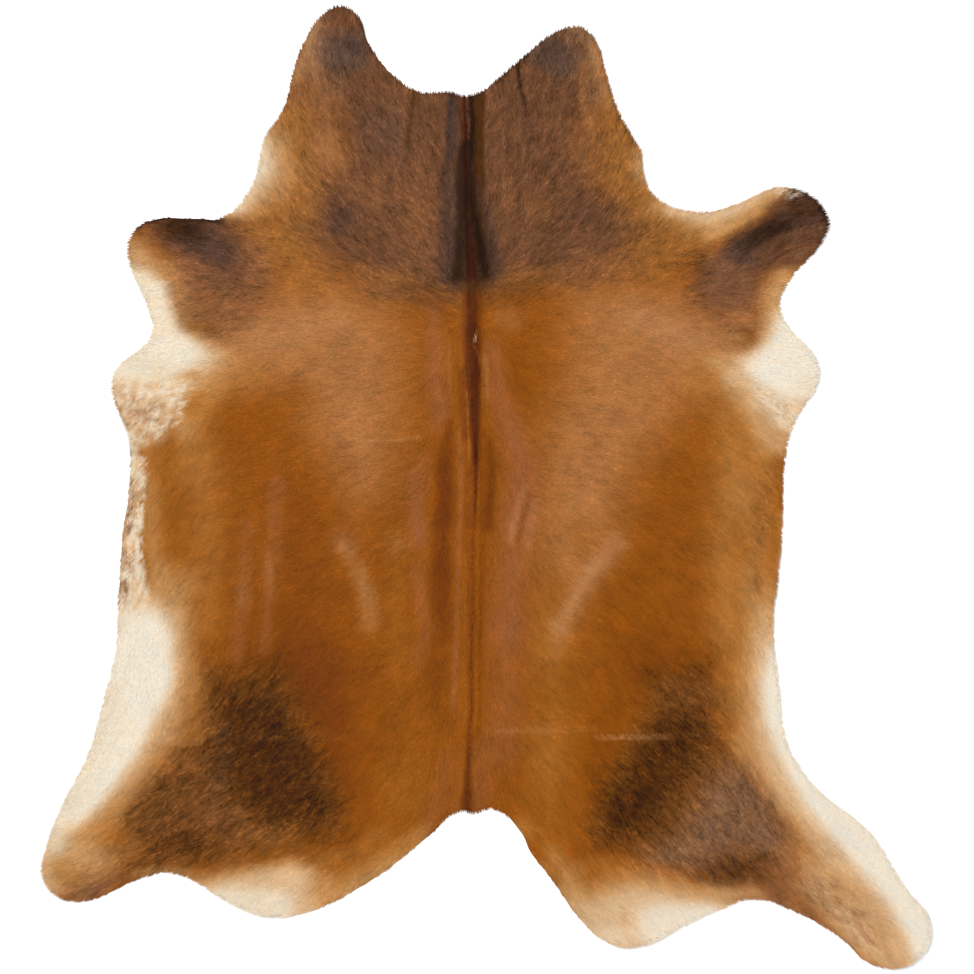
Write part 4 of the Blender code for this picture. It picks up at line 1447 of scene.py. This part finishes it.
@dataclass(frozen=True)
class FleshFinish:
    """The dressed flesh side and the cut edge: pale buffed leather with a short nap."""

    name: str = "buffed_flesh_side"
    pale: tuple = (0.60, 0.50, 0.38, 1.0)
    deep: tuple = (0.44, 0.34, 0.24, 1.0)
    tone_range: tuple = (0.42, 0.80)
    cloud_scale: float = 9.0
    cloud_detail: float = 5.0
    cloud_break: float = 0.6
    nap_scale: float = 900.0
    nap_detail: float = 2.0
    nap_break: float = 0.7
    nap_share: float = 0.25
    nap_depth: float = 0.0002
    nap_bump: float = 0.6
    roughness: float = 0.92
    specular: float = 0.2

    def material(self) -> bpy.types.Material:
        """Builds the finish."""
        bench = NodeBench.fresh(self.name)
        spot = bench.add("ShaderNodeTexCoord")
        cloud = bench.add(
            "ShaderNodeTexNoise",
            Scale=self.cloud_scale,
            Detail=self.cloud_detail,
            Roughness=self.cloud_break,
        )
        nap = bench.add(
            "ShaderNodeTexNoise",
            Scale=self.nap_scale,
            Detail=self.nap_detail,
            Roughness=self.nap_break,
        )
        bench.join(spot.outputs["Object"], cloud.inputs["Vector"])
        bench.join(spot.outputs["Object"], nap.inputs["Vector"])
        both = bench.add("ShaderNodeMath", operation="MULTIPLY_ADD")
        both.inputs[1].default_value = self.nap_share
        bench.join(nap.outputs["Fac"], both.inputs[0])
        bench.join(cloud.outputs["Fac"], both.inputs[2])
        ramp = bench.add("ShaderNodeValToRGB")
        ramp.color_ramp.elements[0].position = self.tone_range[0]
        ramp.color_ramp.elements[0].color = self.deep
        ramp.color_ramp.elements[1].position = self.tone_range[1]
        ramp.color_ramp.elements[1].color = self.pale
        bench.join(both.outputs["Value"], ramp.inputs["Fac"])
        bump = bench.add("ShaderNodeBump", Strength=self.nap_bump, Distance=self.nap_depth)
        bench.join(nap.outputs["Fac"], bump.inputs["Height"])
        shader = bench.add("ShaderNodeBsdfPrincipled", Roughness=self.roughness)
        shader.inputs["Specular IOR Level"].default_value = self.specular
        bench.join(ramp.outputs["Color"], shader.inputs["Base Color"])
        bench.join(bump.outputs["Normal"], shader.inputs["Normal"])
        return bench.finish(shader)


@dataclass(frozen=True)
class Exposure:
    """How the studio's light turns a coat colour into the colour that the eye reads."""

    gain: float = 1.52
    gloss: tuple = (0.0140, 0.0095, 0.0065)
    darkest: float = 0.0005
    palest: float = 0.95

    def base(self, code: np.ndarray) -> np.ndarray:
        """The linear base colour that reads as code under the studio's light and the coat's gloss."""
        seen = linear(np.clip(code, 0.0, 1.0))
        return np.clip((seen - np.array(self.gloss)) / self.gain, self.darkest, self.palest)


@dataclass(frozen=True)
class MapShares:
    """The skin's flat map: hair side on the left, flesh side on the right, cut edge along the top."""

    side: tuple = (0.49, 0.96)
    flesh_start: float = 0.505
    edge_start: float = 0.01
    edge_run: float = 0.97
    edge_step: float = 0.0008
    edge_foot: float = 0.975
    edge_rise: float = 0.015


@dataclass
class Leather:
    """The dressed skin: one closed sheet on the hide's folds, a little smaller than its hair."""

    chart: Chart
    combing: Combing
    relief: Relief
    markings: Markings
    exposure: Exposure
    thickness: float = 0.0020
    edge_thickness: float = 0.0014
    face_step: float = 0.009
    sole_step: float = 0.016
    rim_step: float = 0.007
    trim: float = 0.002
    overhang: float = 0.004
    nibble: float = 0.0006
    nibble_size: float = 0.018
    slope_step: float = 0.004
    shake: float = 0.12
    edge_room: float = 0.45
    join_within: float = 1e-7
    # Painted shade: the hair side of the skin, seen between the locks, is darkened this much.
    shade_under_locks: float = 0.98
    strand_scale: float = 700.0
    shares: MapShares = MapShares()

    def setback(self, places: np.ndarray) -> np.ndarray:
        """How far the cut edge lies inside the hide's rim, more where the hair hangs over it."""
        direction, _ = self.combing.at(places)
        leaning = np.clip((direction * self.chart.outward(places)).sum(1), 0.0, 1.0)
        return self.trim + self.overhang * leaning

    def face(self, places: np.ndarray) -> np.ndarray:
        """The height of the hair side over the floor."""
        return self.chart.lift(places) + self.thickness + self.relief.at(places)

    def upright(self, places: np.ndarray) -> np.ndarray:
        """Directions that stand upright on the hair side."""
        step = self.slope_step
        ways = np.array([[step, 0.0], [0.0, step]])
        slope = [(self.face(places + way) - self.face(places - way)) / (2 * step) for way in ways]
        return np.column_stack([-slope[0], -slope[1], np.ones(len(places))])

    def cut_edge(self) -> np.ndarray:
        """Works out the outline that the skin is cut to, left about the hide.

        Returns:
            The outline's points, N by 2.
        """
        rim = self.chart.rim
        closed = np.vstack([rim, rim[:1]])
        gone = np.concatenate([[0.0], np.cumsum(np.linalg.norm(np.diff(closed, axis=0), axis=1))])
        count = int(gone[-1] / self.rim_step)
        marks = np.linspace(0.0, gone[-1], count, endpoint=False)
        points = np.column_stack([np.interp(marks, gone, closed[:, i]) for i in (0, 1)])
        ahead, behind = np.roll(points, -1, axis=0), np.roll(points, 1, axis=0)
        points = 0.5 * points + 0.25 * (ahead + behind)
        along = ahead - behind
        inward = np.column_stack([-along[:, 1], along[:, 0]])
        inward /= np.linalg.norm(inward, axis=1, keepdims=True)
        depth = self.setback(points) + self.nibble * Mottle(Seed.NIBBLE).at(*points.T, self.nibble_size)
        return points + inward * depth[:, None]

    def sheet(self, outline: np.ndarray, step: float, seed: int) -> tuple[np.ndarray, np.ndarray]:
        """Fills the outline with even triangles.

        Args:
            outline: the cut edge, N by 2.
            step: the distance between inner points.
            seed: sets how they are shaken off their rows.

        Returns:
            Points, the outline's first and in order, and triangles that turn left from above.
        """
        rows = step * ROW_SHARE
        low, high = outline.min(0), outline.max(0)
        right, ahead = np.meshgrid(
            np.arange(low[0], high[0], step), np.arange(low[1], high[1], rows)
        )
        right = right + 0.5 * step * (np.arange(len(right)) % 2)[:, None]
        inner = np.column_stack([right.ravel(), ahead.ravel()])
        inner += np.random.default_rng(seed).uniform(-self.shake, self.shake, inner.shape) * step
        room = self.trim + self.overhang + self.edge_room * step
        inner = inner[self.chart.depth(inner) > room]
        points = np.vstack([outline, inner])
        made = delaunay_2d_cdt(
            [Vector(p) for p in points], [], [list(range(len(outline)))], 1, self.join_within
        )
        order = {origin: new for new, origins in enumerate(made[3]) for origin in origins}
        turn = np.full(len(made[0]), -1)
        old = np.array([order[i] for i in range(len(points)) if i in order])
        kept = np.array([i for i in range(len(points)) if i in order])
        turn[old] = kept
        return points, turn[np.array(made[2])]

    def build(self, hair: bpy.types.Material, flesh: bpy.types.Material) -> bpy.types.Object:
        """Makes the sheet with its hair side, its flesh side and its cut edge.

        Args:
            hair: the finish of the hair side.
            flesh: the finish of the flesh side and the edge.

        Returns:
            The piece.
        """
        outline = self.cut_edge()
        count = len(outline)
        top, top_faces = self.sheet(outline, self.face_step, Seed.FACE_POINTS)
        sole, sole_faces = self.sheet(outline, self.sole_step, Seed.SOLE_POINTS)
        top_height = self.face(top)
        top_height[:count] += self.edge_thickness - self.thickness
        places = np.vstack([
            np.column_stack([top, top_height]),
            np.column_stack([sole, self.chart.lift(sole)]),
        ])
        ring = np.arange(count)
        after = (ring + 1) % count
        under = len(top)
        edge_faces = np.vstack([
            np.column_stack([ring, under + ring, under + after]),
            np.column_stack([ring, under + after, after]),
        ])
        faces = np.vstack([top_faces, sole_faces[:, ::-1] + under, edge_faces])
        mesh = new_mesh("hide_skin", places, faces)
        code, _ = self.markings.at(places[:, :2])
        # The skin's hair side takes the coat's colour with painted shade, as it lies under the locks.
        paint_points(mesh, HairFinish.colour_layer, self.exposure.base(code) * self.shade_under_locks)
        self.lay_maps(mesh, places, faces, len(top_faces), len(sole_faces))
        slots = np.ones(len(faces), np.int32)
        slots[: len(top_faces)] = 0
        mesh.polygons.foreach_set("material_index", slots)
        area = mesh_area(places, top_faces)
        piece = place_piece("hide_skin", mesh, hair, flesh)
        LOG.info("%s: %d triangles, %.3f m2 of hair side", piece.name, len(faces), area)
        return piece

    def lay_maps(
        self, mesh: bpy.types.Mesh, places: np.ndarray, faces: np.ndarray, tops: int, soles: int
    ) -> None:
        """Lays the flat maps: hair side, flesh side and edge each in their own part.

        Args:
            mesh: the sheet's mesh.
            places: its corners.
            faces: its triangles, hair side first, then flesh side, then edge.
            tops: how many triangles the hair side has.
            soles: how many triangles the flesh side has.
        """
        shares = self.shares
        low, high = places[:, :2].min(0), places[:, :2].max(0)
        plan = (places[:, :2] - low) / (high - low)
        flat = plan[faces] * np.array(shares.side)
        flat[tops:, :, 0] += shares.flesh_start
        first = tops + soles
        count = len(faces) - first
        turn = np.arange(count) / count
        across = np.array([0.0, 0.0, shares.edge_step])
        up = np.array([0.0, shares.edge_rise, shares.edge_rise])
        flat[first:, :, 0] = shares.edge_start + shares.edge_run * turn[:, None] + across
        flat[first:, :, 1] = shares.edge_foot + up
        map_corners(mesh, BAKE_MAP, flat, faces)
        map_corners(mesh, HairFinish.strand_map, places[:, :2] * self.strand_scale, faces)


def mesh_area(places: np.ndarray, faces: np.ndarray) -> float:
    """The total area of some triangles."""
    first, second, third = places[faces].transpose(1, 0, 2)
    doubled = np.linalg.norm(np.cross(second - first, third - first), axis=1)
    return float(0.5 * doubled.sum())


class Locks(NamedTuple):
    """Some locks of hair, each with four corners: its root, its two sides and its tip."""

    corners: np.ndarray
    normals: np.ndarray
    tones: np.ndarray
    turns: np.ndarray


@dataclass
class Coat:
    """The hair: combed locks, each a slim closed wedge rooted in the skin and lying along the coat."""

    skin: Leather
    spacing: float = 0.00408
    shake: float = 0.42
    rim_band: float = 0.001
    edge_gap: float = 0.0008
    half_width: float = 0.0012
    root_sink: float = 0.0002
    ridge_rise: float = 0.00012
    tip_rise: float = 0.0008
    round_side: float = 0.35
    shoulder: float = 0.32
    past_rim: float = 0.0012
    trims: int = 3
    shortest: float = 0.15
    droop: float = 0.004
    length_range: tuple = (0.75, 1.25)
    width_range: tuple = (0.8, 1.25)
    rise_range: tuple = (0.55, 1.15)
    roll: float = 0.00010
    scatter: float = 9.0
    swirl: float = 14.0
    swirl_size: float = 0.03
    # Painted shade and light: each lock's root is painted a little darker and its tip a little lighter.
    root_painted_shade: float = 0.98
    tip_painted_light: float = 1.02
    own_shift: float = 0.055
    warm_shift: float = 0.03
    warm_size: float = 0.012
    settle: float = 0.018
    mixing: tuple = ((0.0042, 0.18), (0.009, 0.16))
    clouds: tuple = ((0.021, 0.085), (0.058, 0.095))
    cloud_grain: float = 0.85
    strand_stretch: float = 0.12
    strand_spread: float = 900.0
    zones: tuple = ("coat_rump", "coat_ribs", "coat_shoulders", "coat_neck")

    def roots(self, draw: np.random.Generator) -> np.ndarray:
        """Spreads the locks' roots evenly over the skin.

        Args:
            draw: the source of the small shifts that hide the rows.

        Returns:
            The roots' right and ahead, N by 2.
        """
        chart = self.skin.chart
        low, high = chart.rim.min(0), chart.rim.max(0)
        rows = self.spacing * ROW_SHARE
        right, ahead = np.meshgrid(
            np.arange(low[0], high[0], self.spacing), np.arange(low[1], high[1], rows)
        )
        right = right + 0.5 * self.spacing * (np.arange(len(right)) % 2)[:, None]
        places = np.column_stack([right.ravel(), ahead.ravel()])
        places += draw.uniform(-self.shake, self.shake, places.shape) * self.spacing
        places = places[chart.depth(places) > self.skin.trim]
        near_rim = chart.depth(places) < self.skin.trim + self.skin.overhang + self.rim_band
        keep = np.ones(len(places), bool)
        edge = places[near_rim]
        keep[near_rim] = chart.depth(edge) > self.skin.setback(edge) + self.edge_gap
        return places[keep]

    def tint(self, places: np.ndarray, own: np.ndarray) -> np.ndarray:
        """Colours the coat at some places, with the mixing of paler and darker hairs.

        Args:
            places: right and ahead, N by 2.
            own: each lock's own shift in lightness, N values.

        Returns:
            Linear colours, N by 3.
        """
        code, grain = self.skin.markings.at(places)
        light = 1.0 + grain * (self.own_shift * own - self.settle)
        for seed, (size, depth) in enumerate(self.mixing, Seed.MIXING):
            light += grain * depth * Mottle(seed).at(*places.T, size)
        calm = np.minimum(grain, self.cloud_grain)
        for seed, (size, depth) in enumerate(self.clouds, Seed.CLOUDS):
            light += calm * depth * Mottle(seed).at(*places.T, size)
        warm = 1.0 + self.warm_shift * Mottle(Seed.WARMTH).at(*places.T, self.warm_size)
        shift = np.column_stack([warm, np.ones_like(warm), 2.0 - warm])
        return self.skin.exposure.base(code * light[:, None] * shift)

    def build(self, hair: bpy.types.Material) -> list[bpy.types.Object]:
        """Makes the coat, in zones from the rump to the neck.

        Args:
            hair: the finish of the locks.

        Returns:
            The pieces, one for each zone.
        """
        draw = np.random.default_rng(Seed.LOCKS)
        roots = self.roots(draw)
        roots = roots[np.argsort(roots[:, 1], kind="stable")]
        corners, normals, turns = self.shape(roots, draw)
        own = draw.normal(0.0, 1.0, len(roots))
        # Painted shade at each lock's root, and painted light at its tip.
        deep = self.tint(corners[:, 0, :2], own) * self.root_painted_shade
        outer = self.tint(corners[:, 3, :2], own) * self.tip_painted_light
        middle = deep + (outer - deep) * self.shoulder
        tones = np.stack([deep, middle, middle, outer], axis=1)
        pieces = []
        for name, part in zip(self.zones, np.array_split(np.arange(len(roots)), len(self.zones))):
            locks = Locks(corners[part], normals[part], tones[part], turns[part])
            pieces.append(self.zone(name, locks, hair))
        return pieces

    def shape(
        self, roots: np.ndarray, draw: np.random.Generator
    ) -> tuple[np.ndarray, np.ndarray, np.ndarray]:
        """Works out every lock's four corners: its root, its two sides and its tip.

        Args:
            roots: the locks' roots.
            draw: the source of the locks' small differences.

        Returns:
            The corners, N by 4 by 3, the way that each faces, N by 4 by 3, and one number for each lock
            that sets its strands apart.
        """
        chart, count = self.skin.chart, len(roots)
        way, length = self.skin.combing.at(roots)
        swing = np.radians(draw.normal(0.0, self.scatter, count))
        swing += np.radians(self.swirl) * Mottle(Seed.SWIRL).at(*roots.T, self.swirl_size)
        way = np.column_stack([
            way[:, 0] * np.cos(swing) - way[:, 1] * np.sin(swing),
            way[:, 0] * np.sin(swing) + way[:, 1] * np.cos(swing),
        ])
        length = length * draw.uniform(*self.length_range, count)
        start = chart.depth(roots)
        for _ in range(self.trims):
            end = chart.depth(roots + way * length[:, None])
            past = end < -self.past_rim
            share = (start + self.past_rim) / np.maximum(start - end, TINY)
            length = np.where(past, length * np.clip(share, self.shortest, 1.0), length)
        side = np.column_stack([-way[:, 1], way[:, 0]])
        half = self.half_width * draw.uniform(*self.width_range, count)
        middle = roots + way * (self.shoulder * length)[:, None]
        tips = roots + way * length[:, None]
        roll = draw.normal(0.0, self.roll, count)
        base = self.skin.face(roots)
        tip_height = np.maximum(self.skin.face(tips), base - self.droop)
        tip_height = np.where(chart.depth(tips) > 0, tip_height, base)
        tip_height += self.tip_rise * draw.uniform(*self.rise_range, count)
        root_height = base - self.root_sink
        line = root_height + (tip_height - root_height) * self.shoulder
        corners = np.stack([
            np.column_stack([roots, root_height + self.ridge_rise]),
            np.column_stack([middle + side * half[:, None], line - self.ridge_rise + roll]),
            np.column_stack([middle - side * half[:, None], line - self.ridge_rise - roll]),
            np.column_stack([tips, tip_height]),
        ], axis=1)
        upright = self.skin.upright(middle)
        lean = np.column_stack([side, np.zeros(count)]) * self.round_side
        normals = np.stack([upright, upright + lean, upright - lean, upright], axis=1)
        return corners, normals, draw.uniform(0.0, self.strand_spread, count)

    def zone(self, name: str, locks: Locks, hair: bpy.types.Material) -> bpy.types.Object:
        """Joins the locks of one zone into a piece.

        Args:
            name: the zone's name.
            locks: its locks.
            hair: the finish.

        Returns:
            The piece.
        """
        corners, turns = locks.corners, locks.turns
        places = corners.reshape(-1, 3)
        wedge = np.array([(0, 3, 1), (0, 2, 3), (0, 1, 2), (3, 2, 1)])
        faces = (np.arange(len(corners))[:, None, None] * 4 + wedge[None]).reshape(-1, 3)
        mesh = new_mesh(name, places, faces)
        face_ways(mesh, locks.normals.reshape(-1, 3))
        paint_points(mesh, HairFinish.colour_layer, locks.tones.reshape(-1, 3))
        low, high = places[:, :2].min(0), places[:, :2].max(0)
        map_corners(mesh, BAKE_MAP, (places[:, :2] - low) / (high - low), faces)
        long = np.linalg.norm(corners[:, 3, :2] - corners[:, 0, :2], axis=1) * MILLIMETRES
        wide = np.linalg.norm(corners[:, 1, :2] - corners[:, 2, :2], axis=1) * (0.5 * MILLIMETRES)
        none = np.zeros(len(corners))
        across = np.stack([none, wide, -wide, none], axis=1) + turns[:, None]
        along = np.stack([none, long * self.shoulder, long * self.shoulder, long], axis=1)
        along = along * self.strand_stretch
        strand = np.stack([across, along], axis=2).reshape(-1, 2)
        map_corners(mesh, HairFinish.strand_map, strand, faces)
        piece = place_piece(name, mesh, hair)
        LOG.info("%s: %d locks, %d triangles", name, len(corners), len(faces))
        return piece


@dataclass
class Studio:
    """A plain pale floor, soft light all round, and the camera straight above the hide."""

    camera_place: tuple = (0.0015, 0.0003, 5.243)
    view_depth: float = 200.0
    lens: float = 85.0
    sensor: float = 36.0
    floor_half: float = 60.0
    floor_drop: float = 0.0003
    floor_tone: float = 0.80
    floor_drift: float = 0.006
    floor_clouds: float = 0.6
    floor_cells: int = 24
    sky: float = 1.05
    key_place: tuple = (-7.8, 6.6, 12.6)
    key_size: float = 9.6
    key_power: float = 2340.0

    def build(self) -> None:
        """Sets the whole studio."""
        self.lay_floor()
        self.hang_light()
        self.set_sky()
        self.set_camera()
        bpy.context.scene.view_settings.view_transform = "Standard"

    def lay_floor(self) -> None:
        """Lays the floor a hair's breadth under the hide."""
        mesh = bmesh.new()
        cells = self.floor_cells
        bmesh.ops.create_grid(mesh, x_segments=cells, y_segments=cells, size=self.floor_half)
        data = bpy.data.meshes.new("studio_floor")
        mesh.to_mesh(data)
        mesh.free()
        bench = NodeBench.fresh("pale_floor")
        spot = bench.add("ShaderNodeTexCoord")
        cloud = bench.add("ShaderNodeTexNoise", Scale=self.floor_clouds, Detail=2.0)
        bench.join(spot.outputs["Object"], cloud.inputs["Vector"])
        ramp = bench.add("ShaderNodeValToRGB")
        low, high = self.floor_tone - self.floor_drift, self.floor_tone + self.floor_drift
        ramp.color_ramp.elements[0].color = (low, low, low, 1.0)
        ramp.color_ramp.elements[1].color = (high, high, high, 1.0)
        bench.join(cloud.outputs["Fac"], ramp.inputs["Fac"])
        shader = bench.add("ShaderNodeBsdfPrincipled", Roughness=1.0)
        shader.inputs["Specular IOR Level"].default_value = 0.0
        bench.join(ramp.outputs["Color"], shader.inputs["Base Color"])
        data.materials.append(bench.finish(shader))
        floor = bpy.data.objects.new("studio_floor", data)
        floor.location.z = -self.floor_drop
        bpy.context.scene.collection.objects.link(floor)

    def hang_light(self) -> None:
        """Hangs one large soft panel above the head end, to the left."""
        data = bpy.data.lights.new("soft_panel", "AREA")
        data.shape = "DISK"
        data.size = self.key_size
        data.energy = self.key_power
        panel = bpy.data.objects.new("soft_panel", data)
        panel.location = self.key_place
        panel.rotation_euler = (-Vector(self.key_place)).to_track_quat("-Z", "Y").to_euler()
        bpy.context.scene.collection.objects.link(panel)

    def set_sky(self) -> None:
        """Lights the room evenly from all round."""
        world = bpy.data.worlds.new("pale_room")
        world.use_nodes = True
        world.node_tree.nodes["Background"].inputs["Color"].default_value = (1.0, 1.0, 1.0, 1.0)
        world.node_tree.nodes["Background"].inputs["Strength"].default_value = self.sky
        bpy.context.scene.world = world

    def set_camera(self) -> None:
        """Sets the camera looking straight down, the head end at the top."""
        data = bpy.data.cameras.new("overhead")
        data.lens = self.lens
        data.sensor_width = self.sensor
        data.clip_end = self.view_depth
        camera = bpy.data.objects.new("overhead", data)
        camera.location = self.camera_place
        bpy.context.scene.collection.objects.link(camera)
        bpy.context.scene.camera = camera


def main() -> None:
    """Builds the rug in order: skin, coat, studio."""
    logging.basicConfig(level=logging.INFO, format="%(message)s")
    chart = Chart()
    markings = Markings()
    exposure = Exposure()
    skin = Leather(chart, Combing(), Relief(), markings, exposure)
    hair = HairFinish().material()
    leather = skin.build(hair, FleshFinish().material())
    coat = Coat(skin).build(hair)
    Studio().build()


if __name__ == "__main__":
    main()
